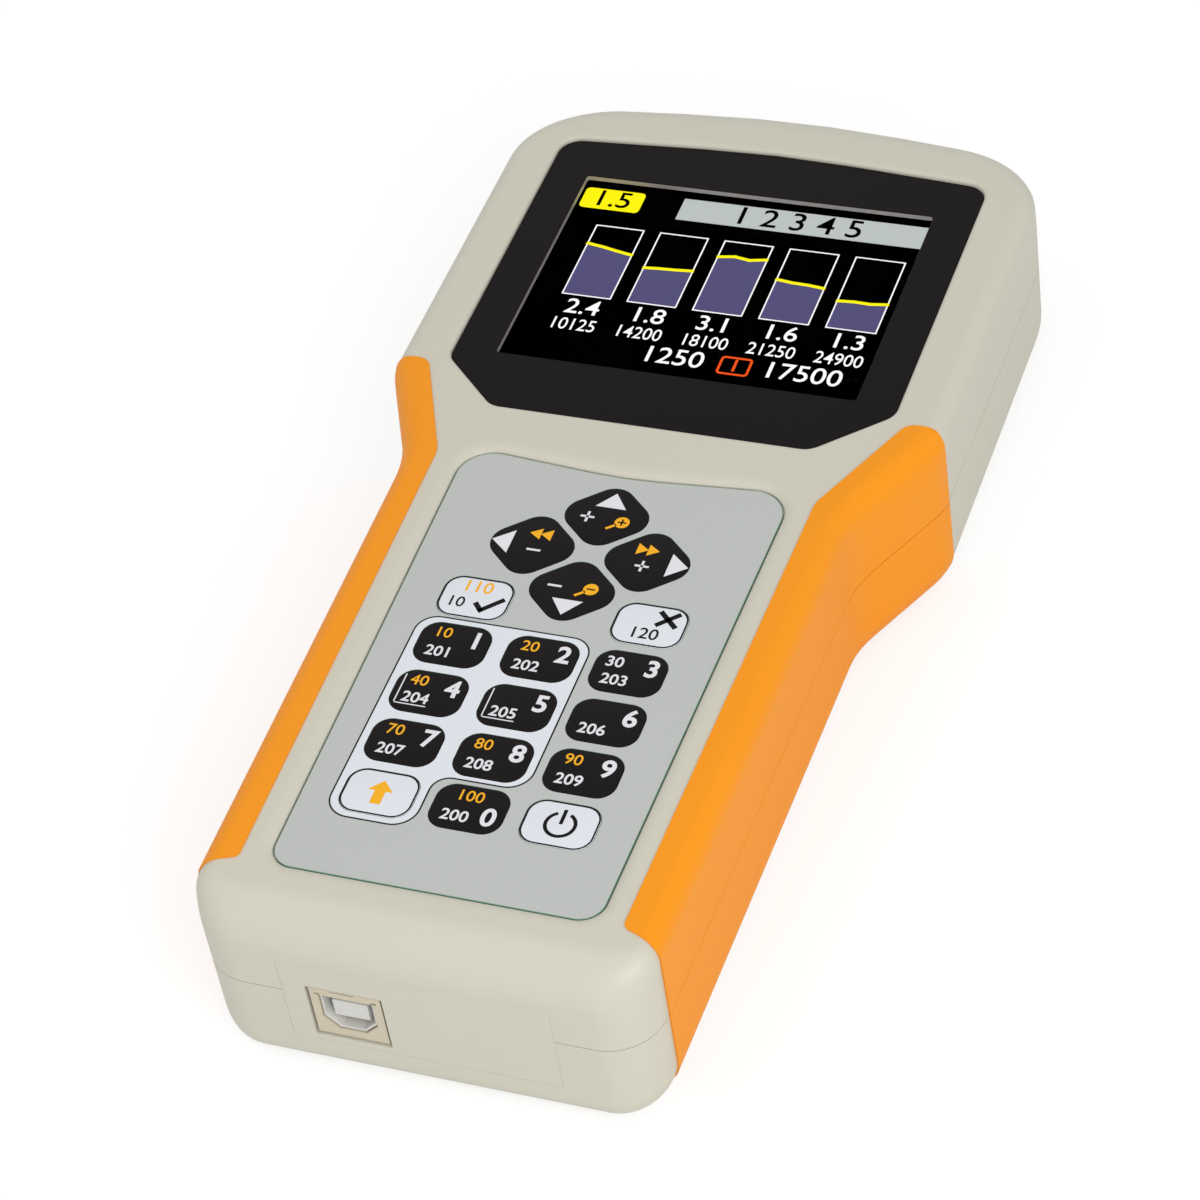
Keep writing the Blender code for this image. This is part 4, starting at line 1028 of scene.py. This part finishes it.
class ANALYZER_OT_grips(PieceMaker, bpy.types.Operator):
    """Four soft grips moulded over the sides"""

    bl_idname = "analyzer.grips"
    bl_label = "Grips"

    def make(self, case, paints, scene):
        gap = case.seam_gap / 2
        for half in ("front", "rear"):
            shift = 0 if half == "front" else grip_rear_shift
            right = grip_outline(shift, case.arc_step * 2)
            for side, outline in (("right", right), ("left", flipped(right))):
                if half == "front":
                    skin = loft("soft_grip", front_rings(-case.grip_proud, seam_height + gap, case))
                    core = loft("core", front_rings(grip_depth, seam_height - overrun, case))
                else:
                    skin = loft("soft_grip", rear_rings(-case.grip_proud, seam_height - gap, case))
                    core = loft("core", rear_rings(grip_depth, seam_height + overrun, case))
                region = prism("region", outline, -overrun, case_thickness + overrun)
                combine(skin, region, "INTERSECT")
                cut(skin, core)
                step = skin.modifiers.new("edge", "BEVEL")
                step.width = case.grip_edge
                step.segments = 2
                step.limit_method = "ANGLE"
                step.angle_limit = math.radians(60.0)
                apply_modifiers(skin)
                skin.name = "soft_grip_" + half + "_" + side
                finish(skin, [paints["grip_rubber"]], "case", ["grip_" + half + "_" + side])


class ANALYZER_OT_bezel(PieceMaker, bpy.types.Operator):
    """Dark panel round the display, and its clear window"""

    bl_idname = "analyzer.bezel"
    bl_label = "Bezel and Window"

    def make(self, case, paints, scene):
        edge = 0.00012
        levels = [(bezel_low, 0), (bezel_high - edge, 0), (bezel_high - edge * 0.3, -edge * 0.3), (bezel_high, -edge)]
        panel = loft("bezel_panel", levels_of(bezel_outline(case.arc_step), levels))
        opening = shifted(rounded_rectangle(screen_width, screen_height, screen_corner_radius, case.arc_step * 3),
                          0, screen_y)
        levels = [(bezel_low - overrun, 0), (bezel_high - edge, 0), (bezel_high + edge, edge * 2)]
        cut(panel, loft("opening", levels_of(opening, levels)))
        panel.data.materials.append(paints["bezel_print"])
        panel.data.materials.append(paints["bezel_edge"])
        inside = max(screen_width, screen_height) / 2 + edge
        # Painted highlight: the upright walls of the display opening take the pale grey finish in place of the bezel's
        # black
        for face in panel.data.polygons:
            at = face.center
            if abs(face.normal.z) < 0.1 and abs(at.x) < inside and abs(at.y - screen_y) < screen_height / 2 + edge:
                face.material_index = 1
        finish(panel, [], "case", ["display_bezel"])
        low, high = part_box("display_window")
        outline = rounded_rectangle(high.x - low.x, high.y - low.y, 0.0010, case.arc_step * 3)
        levels = [(low.z, -edge), (low.z + edge, 0), (high.z - edge, 0), (high.z, -edge)]
        pane = loft("window_pane", levels_of(shifted(outline, 0, screen_y), levels))
        finish(pane, [paints["window_clear"]], "case", ["display_window"])


class ANALYZER_OT_picture(PieceMaker, bpy.types.Operator):
    """Lit picture on the display: bars, traces and plain numbers"""

    bl_idname = "analyzer.picture"
    bl_label = "Display Picture"

    def make(self, case, paints, scene):
        display = scene.analyzer_display
        white, header, trace, fill, mark, black = range(6)
        sheet = Print(display_top + 0.00002, 0.00003, (0, screen_y))
        label = shifted(rounded_rectangle(0.0115, 0.0056, 0.0009, math.radians(15.0)), -0.0270, 0.0212)
        sheet.plate([p[:2] for p in label], trace)
        sheet.text("1.5", 0.0062, -0.0270, 0.0212, black, 1, 0.006)
        sheet.plate([(-0.0139, 0.0181), (0.0323, 0.0181), (0.0323, 0.0240), (-0.0139, 0.0240)], header)
        sheet.text("1 2 3 4 5", 0.0068, 0.0085, 0.0210, black, 1, 0.006)
        first = 0.0015 - display.bar_pitch * (display.bar_count - 1) / 2
        bottom = -0.00535
        levels = ((0.725, 0.70, 0.665, 0.635), (0.487, 0.50, 0.508, 0.522), (0.762, 0.79, 0.765, 0.80),
                  (0.555, 0.535, 0.53, 0.513), (0.373, 0.385, 0.38, 0.403))
        upper = ("2.4", "1.8", "3.1", "1.6", "1.3")
        lower = ("10125", "14200", "18100", "21250", "24900")
        for bar in range(display.bar_count):
            x = first + bar * display.bar_pitch
            self.bar(sheet, display, x, bottom, levels[bar % len(levels)])
            sheet.text(upper[bar % len(upper)], 0.0054, x + 0.0004, -0.0084, white, 0, 0.006)
            sheet.text(lower[bar % len(lower)], 0.0043, x + 0.0001, -0.0131, white, 0, 0.002, 0.82)
        sheet.text("1250", 0.0058, -0.0026, -0.0180, white, 0, 0.004)
        sheet.text("17500", 0.0058, 0.0210, -0.0180, white, 0, 0.004)
        sheet.text("1", 0.0044, 0.0088, -0.0181, mark, 0, 0.006)
        frame_outline = shifted(rounded_rectangle(0.0058, 0.0046, 0.0008, math.radians(15.0)), 0.0088, -0.0181)
        sheet.band([p[:2] for p in frame_outline], [p[:2] for p in grown(frame_outline, -0.00045)], mark)
        colours = lit_colours(scene.analyzer_finishes, display.glow)
        picture = sheet.made("display_picture", colours)
        finish(picture, [], "case", (), weighted=False)

    def bar(self, sheet, display, x, bottom, levels):
        white, _, trace, fill = range(4)
        half = display.bar_width / 2
        line = display.line_width
        top = bottom + display.bar_height
        outer = [(x - half, bottom), (x + half, bottom), (x + half, top), (x - half, top)]
        inner = [(x - half + line, bottom + line), (x + half - line, bottom + line), (x + half - line, top - line),
                 (x - half + line, top - line)]
        sheet.band(outer, inner, white)
        span = display.bar_width - 2 * line
        tops = [(x - half + line + span * place / (len(levels) - 1), bottom + display.bar_height * level)
                for place, level in enumerate(levels)]
        sheet.plate([(x - half + line, bottom + line), (x + half - line, bottom + line)] + tops[::-1], fill)
        for start, end in zip(tops, tops[1:]):
            sheet.stroke(start, end, 0.0007, trace, 1)


class ANALYZER_OT_film(PieceMaker, bpy.types.Operator):
    """Printed keypad film with its pale field"""

    bl_idname = "analyzer.film"
    bl_label = "Keypad Film"

    def make(self, case, paints, scene):
        keypad = scene.analyzer_keypad
        edge = 0.00008
        levels = [(film_low, 0), (film_high - edge, 0), (film_high, -edge)]
        film = loft("keypad_film", levels_of(foil_outline(case.arc_step), levels))
        cut(film, self.holes(keypad, case))
        film.data.materials.append(paints["film_print"])
        film.data.materials.append(paints["film_edge"])
        for face in film.data.polygons:
            face.material_index = int(abs(face.normal.z) < 0.9)
        finish(film, [], "case", ["keypad_overlay"])
        outline = field_outline(case.arc_step * 2)
        field = prism("keypad_field", outline, film_high, film_high + keypad.ink_height)
        cut(field, self.holes(keypad, case))
        finish(field, [paints["field_print"]], "case", ())
        sheet = Print(film_high, keypad.ink_height * 2)
        half = keypad.line_width / 2
        sheet.band([p[:2] for p in grown(outline, half)], [p[:2] for p in grown(outline, -half)], 0)
        finish(sheet.made("keypad_field_line", [paints["dark_print"]]), [], "case", (), weighted=False)

    def holes(self, keypad, case):
        builder = bmesh.new()
        for name in DARK_KEYS + LIGHT_KEYS + DIAMONDS:
            outline = grown(shifted(key_outline(name, case.arc_step * 2), *key_centre(name)), keypad.key_gap)
            add_loft(builder, levels_of(outline, [(film_low - overrun, 0), (film_high + overrun, 0)]))
        return object_from(builder, "holes")


class ANALYZER_OT_keys(PieceMaker, bpy.types.Operator):
    """All keys with their printed digits and signs"""

    bl_idname = "analyzer.keys"
    bl_label = "Keys"

    def make(self, case, paints, scene):
        keypad = scene.analyzer_keypad
        for name in DARK_KEYS + LIGHT_KEYS + DIAMONDS:
            light = name in LIGHT_KEYS
            cap = self.cap(name, case, keypad)
            cap.data.materials.append(paints["field_print" if light else "dark_print"])
            sheet = Print(film_high + keypad.key_top, keypad.ink_height, key_centre(name))
            if light:
                outline = key_outline(name, case.arc_step * 2)
                edge = grown(outline, -0.00004)
                sheet.band([p[:2] for p in edge], [p[:2] for p in grown(edge, -keypad.line_width * 1.1)], 2)
            self.legend(sheet, name, keypad)
            inks = [paints["legend_ink"], paints["accent_ink"], paints["dark_print"]]
            absorb(cap, sheet.made("legend", inks))
            finish(cap, [], name + "_body", [name], weighted=False)

    def cap(self, name, case, keypad):
        outline = shifted(key_outline(name, case.arc_step * 2), *key_centre(name))
        top = film_high + keypad.key_top
        edge = 0.00012
        levels = [(film_high - 0.0003, 0), (top - edge, 0), (top - edge * 0.35, -edge * 0.2),
                  (top - edge * 0.1, -edge * 0.5), (top, -edge)]
        return loft(name + "_cap", levels_of(outline, levels))

    def legend(self, sheet, name, keypad):
        if name in DARK_KEYS:
            self.number_legend(sheet, name[-1], keypad)
        elif name in DIAMONDS:
            self.arrow_legend(sheet, name)
        else:
            self.sign_legend(sheet, name)

    def number_legend(self, sheet, digit, keypad):
        pale, accent = 0, 1
        small = keypad.small_size
        y = -0.0013 if digit == "0" else 0.0014
        sheet.text(digit, keypad.digit_size, 0.0036, y, pale, 0, 0.026)
        if digit in "124789":
            sheet.text(digit + "0", small, -0.0024, 0.0023, accent, 0, 0.006)
        if digit == "0":
            sheet.text("100", small, -0.0006, 0.0024, accent, 0, 0.006)
        if digit == "3":
            sheet.text("30", small, -0.0029, 0.0019, pale, 0, 0.016)
        if digit in "45":
            for end in ((-0.0050, 0.0032), (0.0004, -0.0030)):
                sheet.stroke((-0.0050, -0.0030), end, 0.00022, pale)
        y = -0.0015 if digit in "45" else -0.0019
        sheet.text("20" + digit, small, -0.0018, y, pale, 0, 0.016)

    def arrow_legend(self, sheet, name):
        pale, accent = 0, 1
        quarter = {"key_right": 0, "key_up": 1, "key_left": 2, "key_down": 3}[name]
        cos, sin = (1, 0, -1, 0)[quarter], (0, 1, 0, -1)[quarter]
        tip, base = (0.0071, 0.0037) if quarter % 2 == 0 else (0.0056, 0.0021)
        corners = [(tip, 0), (base, 0.0027), (base, -0.0027)]
        sheet.plate([(x * cos - y * sin, x * sin + y * cos) for x, y in corners], pale)
        if quarter % 2 == 0:
            for near in (0, 0.0019):
                run = [(near, -0.0013), (near + 0.0020, 0), (near, 0.0013)]
                sheet.plate([(cos * (x - 0.0026), y + 0.0027) for x, y in run][::cos], accent)
            x, y = -0.0006 * cos, -0.0011
        else:
            x, y = -0.0032, -0.0006 * sin
            self.lens(sheet, sin)
        sheet.stroke((x - 0.0010, y), (x + 0.0010, y), 0.00045, pale)
        if name in ("key_up", "key_right"):
            sheet.stroke((x, y - 0.0010), (x, y + 0.0010), 0.00045, pale)

    def lens(self, sheet, way):
        """Small magnifier with a plus or a minus in it."""
        _, accent, dark = range(3)
        x, y = 0.0030, -0.0009 * way
        disc = circle(0.0013, 24)
        sheet.plate([(px + x, py + y) for px, py, _, _ in disc], accent)
        sheet.stroke((x - 0.0010, y - 0.0008), (x - 0.0021, y - 0.0017), 0.0005, accent)
        sheet.stroke((x - 0.0006, y), (x + 0.0006, y), 0.0003, dark, 1)
        if way > 0:
            sheet.stroke((x, y - 0.0006), (x, y + 0.0006), 0.0003, dark, 1)

    def sign_legend(self, sheet, name):
        _, accent, dark = range(3)
        if name == "key_ok":
            sheet.stroke((0.0006, -0.0013), (0.0017, -0.0025), 0.0009, dark)
            sheet.stroke((0.0017, -0.0025), (0.0046, 0.0003), 0.0009, dark)
            sheet.text("110", 0.0036, -0.0004, 0.0024, accent, 0, 0.008)
            sheet.text("10", 0.0032, -0.0030, -0.0014, dark, 0, 0.008)
        if name == "key_cancel":
            for way in (-1, 1):
                sheet.stroke((0.0012, 0.0018 - 0.0013 * way), (0.0040, 0.0018 + 0.0013 * way), 0.0009, dark)
            sheet.text("120", 0.0034, -0.0004, -0.0020, dark, 0, 0.008)
        if name == "key_power":
            sheet.arc(0.00240, 0.0006, math.radians(116.0), math.radians(424.0), dark)
            sheet.stroke((0, 0.0004), (0, 0.0028), 0.0006, dark)
        if name == "key_f":
            arrow = [(0, 0.0026), (-0.0021, 0.0004), (-0.0009, 0.0004), (-0.0009, -0.0023), (0.0009, -0.0023),
                     (0.0009, 0.0004), (0.0021, 0.0004)]
            sheet.plate(arrow, accent)


class ANALYZER_OT_lower_end(PieceMaker, bpy.types.Operator):
    """End panel with the computer socket"""

    bl_idname = "analyzer.lower_end"
    bl_label = "Lower End"

    def make(self, case, paints, scene):
        low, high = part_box("lower_end_panel")
        shell_low, shell_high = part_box("usb_shell")
        flange = 0.0012
        panel = box("end_panel", (low.x + flange, high.x - flange), (lower_end, high.y),
                    (low.z + flange, high.z - flange))
        margin = 0.00045
        cut(panel, box("window", (shell_low.x - margin, shell_high.x + margin), (lower_end - overrun, high.y + overrun),
                       (shell_low.z - margin, shell_high.z + margin)))
        self.soften(panel, 0.00004)
        finish(panel, [paints["case_plastic"]], "case", ["lower_end_panel"])
        self.socket(paints, shell_low, shell_high)

    def soften(self, piece, width):
        step = piece.modifiers.new("edge", "BEVEL")
        step.width = width
        step.segments = 2
        step.limit_method = "ANGLE"
        apply_modifiers(piece)

    def mouth(self, x, z, margin, y_range, name):
        """Socket mouth whose two lower corners are cut off."""
        half_x, half_z, bevel = 0.0046 + margin, 0.0038 + margin, 0.0023
        corners = [(half_x, half_z), (-half_x, half_z), (-half_x, -half_z + bevel), (-half_x + bevel, -half_z),
                   (half_x - bevel, -half_z), (half_x, -half_z + bevel)]
        return loft(name, [[(x + a, y, z + b) for a, b in corners] for y in y_range])

    def socket(self, paints, low, high):
        x, z = (low.x + high.x) / 2, (low.z + high.z) / 2
        shell = box("usb_cover", (low.x, high.x), (low.y, high.y), (low.z, high.z))
        cut(shell, self.mouth(x, z, 0, (low.y - overrun, low.y + 0.0095), "mouth"))
        for side in (-1, 1):
            cut(shell, box("slot", sorted((x + side * 0.0043, x + side * 0.0052)), (low.y - overrun, low.y + 0.004),
                           (high.z - 0.0015, high.z - 0.0011)))
        cut(shell, box("slot", (x - 0.0024, x + 0.0016), (low.y - overrun, low.y + 0.004),
                       (high.z - 0.00045, high.z - 0.00025)))
        self.soften(shell, 0.0001)
        finish(shell, [paints["socket_plate"]], "case", ["usb_shell"])
        back = low.y + 0.0094
        lining = self.mouth(x, z, -0.00012, (low.y + 0.0003, back), "usb_core")
        cut(lining, self.mouth(x, z, -0.00045, (low.y - overrun, back - 0.0015), "hollow"))
        join(lining, box("blade", (x - 0.0030, x + 0.0030), (low.y + 0.0010, back - 0.001), (z - 0.0017, z + 0.0020)))
        self.soften(lining, 0.00015)
        finish(lining, [paints["white_insulator"]], "case", ["usb_tongue"])
        strip = box("strip", (-0.0005, 0.0005), (0.0004, 0.0070), (-0.00005, 0.00012))
        places = [(x + way * 0.00125, low.y + 0.0010, level) for way in (-1, 1) for level in (z - 0.0017, z + 0.0020)]
        strips = repeated("usb_contacts", strip, places, paints["contact_brass"])
        finish(strips, [], "case", (), weighted=False)


class ANALYZER_OT_upper_end(PieceMaker, bpy.types.Operator):
    """Threaded antenna socket in its well, with its four screws"""

    bl_idname = "analyzer.upper_end"
    bl_label = "Upper End"

    def make(self, case, paints, scene):
        sides = case.round_sides
        centre = (0, socket_face, socket_height)
        lip = upper_end - 0.0013
        step = case.arc_step * 3
        well = end_prism("socket_well", 2 * (pocket_half_width + pocket_wall), pocket_height + 2 * pocket_wall,
                         pocket_corner_radius, (socket_face, lip), step)
        cut(well, end_prism("hollow", 2 * pocket_half_width, pocket_height, pocket_corner_radius - pocket_wall / 2,
                            (socket_face + pocket_wall, lip + overrun), step))
        cut(well, turned("hole", [(-overrun, 0.0081), (0.003, 0.0081)], centre, "Y", sides))
        inside = 0.0002
        hull = rear_rings(inside, seam_height - inside, case) + front_rings(inside, seam_height, case)
        combine(well, loft("hull", hull), "INTERSECT")
        finish(well, [paints["case_plastic"]], "case", ["socket_pocket"])

        low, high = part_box("antenna_socket")
        barrel = self.threaded("socket_barrel", low.y, high.y - socket_face, case)
        finish(barrel, [paints["nickel_plate"]], "case", ["antenna_socket"], math.radians(50.0))

        low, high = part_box("antenna_insulator")
        tip = high.y - socket_face
        profile = [(low.y - socket_face, 0.0060), (tip - 0.0004, 0.0060), (tip - 0.0001, 0.0059), (tip, 0.0056)]
        disc = turned("socket_insulator", profile, centre, "Y", sides)
        cut(disc, turned("groove", [(tip - 0.0007, 0.0046), (tip + overrun, 0.0048)], centre, "Y", sides))
        core = [(tip - 0.0012, 0.0036), (tip - 0.0002, 0.0036), (tip, 0.0034)]
        join(disc, turned("core", core, centre, "Y", sides))
        cut(disc, turned("bore", [(low.y - socket_face - overrun, 0.0025), (tip + overrun, 0.0025)], centre, "Y", sides))
        finish(disc, [paints["white_insulator"]], "case", ["antenna_insulator"])

        low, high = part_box("antenna_contact")
        tip = high.y - socket_face
        profile = [(low.y - socket_face, 0.0024), (tip - 0.0003, 0.0024), (tip, 0.0022)]
        pin = turned("socket_contact", profile, centre, "Y", sides)
        cut(pin, turned("bore", [(tip - 0.012, 0.0018), (tip - 0.0003, 0.0018), (tip + 0.0001, 0.0021)], centre, "Y",
                        sides))
        for turn in (0, math.pi / 2):
            slit = box("slit", (-0.0030, 0.0030), (-0.004, overrun), (-0.00016, 0.00016))
            slit.data.transform(Matrix.Translation((0, high.y, socket_height)) @ Matrix.Rotation(turn, 4, "Y"))
            cut(pin, slit)
        finish(pin, [paints["contact_brass"]], "case", ["antenna_contact"])

        screws = ["socket_screw_" + str(number) for number in range(1, 5)]
        seat = socket_face + pocket_wall + 0.0002
        places = [(sum(corner.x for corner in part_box(s)) / 2, seat, sum(corner.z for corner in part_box(s)) / 2)
                  for s in screws]
        screw = cross_screw(0.0026, 0.0018, 0.0014, 0.0068, sides)
        screw.data.transform(Matrix.Rotation(-math.pi / 2, 4, "X"))
        heads = repeated("socket_screws", screw, places, paints["zinc_screw"])
        finish(heads, [], "case", screws)

    def threaded(self, name, back, reach, case):
        """Flange and a barrel with a true helical thread."""
        half = 0.0127
        flange = box("flange", (-half, half), (back, socket_face - 0.0002), (socket_height - half, socket_height + half))
        outer, depth, pitch = 0.00795, 0.00055, 0.00106
        start, end = pocket_wall + 0.0005, reach - 0.0008
        sides = case.round_sides
        rows = int((end - start) / (pitch / 10))
        rings = []
        for row in range(rows + 1):
            distance = start + (end - start) * row / rows
            fade = min(1, (distance - start) / pitch, (end - distance) / pitch)
            ring = []
            for index in range(sides):
                phase = (distance / pitch - index / sides) % 1
                height = 1 - abs(2 * phase - 1)
                crest = min(1, height * 1.35)
                radius = outer - depth * (1 - crest * max(fade, 0))
                angle = math.tau * index / sides
                ring.append((radius * math.cos(angle), socket_face + distance, socket_height + radius * math.sin(angle)))
            rings.append(ring)
        core = outer - depth
        tail = self.ring(core, socket_face - 0.001, sides)
        tips = [self.ring(core, socket_face + reach - 0.0003, sides),
                self.ring(core - 0.0003, socket_face + reach, sides)]
        barrel = loft(name, [tail] + rings + tips)
        join(barrel, flange)
        bore = [(back - socket_face - overrun, 0.0063), (reach - 0.0004, 0.0063), (reach + 0.0001, 0.0067)]
        cut(barrel, turned("bore", bore, (0, socket_face, socket_height), "Y", sides))
        return barrel

    def ring(self, radius, y, sides):
        return [(radius * math.cos(math.tau * i / sides), y, socket_height + radius * math.sin(math.tau * i / sides))
                for i in range(sides)]


def cross_screw(head_radius, head_height, shank_radius, shank_length, sides):
    """Pan head screw with a cross recess, head up, seat at the origin."""
    domed = [(-shank_length, shank_radius * 0.7), (-shank_length + shank_radius * 0.5, shank_radius),
             (0, shank_radius), (0, head_radius)]
    for step in range(1, 7):
        turn = math.pi / 2 * step / 6
        domed.append((head_height * (0.35 + 0.65 * math.sin(turn)), head_radius * (0.42 + 0.58 * math.cos(turn))))
    screw = turned("screw", domed, (0, 0, 0), "Z", sides)
    arm, width = head_radius * 0.55, head_radius * 0.16
    for x, y in ((arm, width), (width, arm)):
        rings = [[(a * x * s, b * y * s, z) for a, b in ((-1, -1), (1, -1), (1, 1), (-1, 1))]
                 for z, s in ((head_height * 0.35, 0.5), (head_height + overrun, 1.0))]
        cut(screw, loft("cross", rings))
    return screw


class ANALYZER_OT_rear_fittings(PieceMaker, bpy.types.Operator):
    """Battery cover, the cells behind it and the case screws"""

    bl_idname = "analyzer.rear_fittings"
    bl_label = "Rear Fittings"

    def make(self, case, paints, scene):
        low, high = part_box("battery_cover")
        edge = bay_head_y - 0.0002
        thickness = 0.0012
        cover = box("cover_plate", (low.x, high.x), (low.y, edge), (0, thickness))
        join(cover, box("rib", (-0.0160, 0.0160), (low.y + 0.0020, low.y + 0.0032), (thickness / 2, wall)))
        for x in (-0.0095, 0.0095):
            across = (x - 0.0030, x + 0.0030)
            join(cover, box("root", across, (edge - bay_wall, edge), (thickness / 2, high.z)))
            join(cover, box("tab", across, (edge - bay_wall / 2, high.y), (high.z - 0.0010, high.z)))
        bar = loft("bar", [[(x, y, z) for x, y in ((-0.0075, -w), (0.0075, -w), (0.0075, w), (-0.0075, w))]
                           for z, w in ((-overrun, 0.0009), (0.00045, 0.0003))])
        first = low.y + 0.0045
        places = [(0, first + number * case.groove_pitch, 0) for number in range(case.groove_count)]
        cut(cover, repeated("grooves", bar, places, paints["case_plastic"]))
        step = cover.modifiers.new("edge", "BEVEL")
        step.width = 0.00015
        step.segments = 2
        step.limit_method = "ANGLE"
        apply_modifiers(cover)
        finish(cover, [paints["case_plastic"]], "cover", ["battery_cover"])
        self.cells(case, paints)
        screws = ["case_screw_" + str(number) for number in range(1, 5)]
        seat = case_screw_seat - 0.0004
        places = [(sum(corner.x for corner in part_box(s)) / 2, sum(corner.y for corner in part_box(s)) / 2, seat)
                  for s in screws]
        screw = cross_screw(0.00275, 0.0020, 0.00145, 0.0140, case.round_sides)
        screw.data.transform(Matrix.Rotation(math.pi, 4, "X"))
        finish(repeated("case_screws", screw, places, paints["zinc_screw"]), [], "case", screws)

    def cells(self, case, paints):
        radius, half, nub = 0.00725, 0.0246, 0.0012
        for side, way in (("left", 1), ("right", -1)):
            name = "battery_cell_" + side
            low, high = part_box(name)
            centre = ((low.x + high.x) / 2, (bay_foot_y + bay_head_y) / 2, (low.z + high.z) / 2)
            profile = [(-half, radius * 0.62), (-half, radius * 0.84), (-half + 0.0005, radius * 0.97),
                       (-half + 0.0010, radius), (half - 0.0095, radius), (half - 0.0010, radius),
                       (half - 0.0004, radius * 0.97), (half, radius * 0.88), (half - 0.0002, radius * 0.5),
                       (half, 0.0028), (half + nub - 0.0002, 0.0027), (half + nub, 0.0024)]
            cell = turned("cell_" + side, [(way * d, r) for d, r in profile], centre, "Y", case.round_sides)
            for paint in ("cell_jacket", "cell_band", "tinned_sheet"):
                cell.data.materials.append(paints[paint])
            for face in cell.data.polygons:
                along = way * (face.center.y - centre[1])
                reach = math.hypot(face.center.x - centre[0], face.center.z - centre[2])
                bare = reach < radius * 0.9 and (along > half - 0.0006 or along < -half + 0.0006)
                face.material_index = 2 if bare else int(along > half - 0.0095)
            finish(cell, [], "case", [name])


class ANALYZER_OT_inner_parts(PieceMaker, bpy.types.Operator):
    """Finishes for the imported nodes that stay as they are"""

    bl_idname = "analyzer.inner_parts"
    bl_label = "Inner Parts"

    def make(self, case, paints, scene):
        by_slot = {"board": "board_green", "component": "component_black", "tin": "tinned_sheet",
                   "screw": "zinc_screw", "lcd": "display_glass", "insulator": "white_insulator",
                   "nickel": "nickel_plate", "brass": "contact_brass", "case": "case_plastic"}
        slots = {part["node"]: part["material_slot"] for part in frame["record"]["subparts"]}
        for name, node in nodes.items():
            if not node.hide_render:
                node.data.materials.clear()
                node.data.materials.append(paints[by_slot[slots[name]]])


class ANALYZER_PT_pieces(bpy.types.Panel):
    """Sizes, colours and a button for each piece"""

    bl_idname = "ANALYZER_PT_pieces"
    bl_label = "Antenna Analyzer"
    bl_space_type = "VIEW_3D"
    bl_region_type = "UI"
    bl_category = "Analyzer"

    def draw(self, context):
        for name, _ in GROUPS:
            settings = getattr(context.scene, name)
            column = self.layout.column(align=True)
            for key in settings.__annotations__:
                column.prop(settings, key)
        for operator in OPERATORS:
            self.layout.operator(operator.bl_idname)


GROUPS = (
    ("analyzer_case", AnalyzerCase),
    ("analyzer_keypad", AnalyzerKeypad),
    ("analyzer_display", AnalyzerDisplay),
    ("analyzer_finishes", AnalyzerFinishes),
    ("analyzer_studio", AnalyzerStudio),
)
OPERATORS = (
    ANALYZER_OT_stage,
    ANALYZER_OT_front_shell,
    ANALYZER_OT_rear_shell,
    ANALYZER_OT_grips,
    ANALYZER_OT_bezel,
    ANALYZER_OT_picture,
    ANALYZER_OT_film,
    ANALYZER_OT_keys,
    ANALYZER_OT_lower_end,
    ANALYZER_OT_upper_end,
    ANALYZER_OT_rear_fittings,
    ANALYZER_OT_inner_parts,
)


def register():
    for name, group in GROUPS:
        bpy.utils.register_class(group)
        setattr(bpy.types.Scene, name, PointerProperty(type=group))
    for item in (*OPERATORS, ANALYZER_PT_pieces):
        bpy.utils.register_class(item)


def unregister():
    for item in reversed((*OPERATORS, ANALYZER_PT_pieces)):
        bpy.utils.unregister_class(item)
    for name, group in reversed(GROUPS):
        delattr(bpy.types.Scene, name)
        bpy.utils.unregister_class(group)


def main():
    register()
    for operator in OPERATORS:
        group, call = operator.bl_idname.split(".")
        getattr(getattr(bpy.ops, group), call)()
    bpy.context.view_layer.update()


if __name__ == "__main__":
    main()
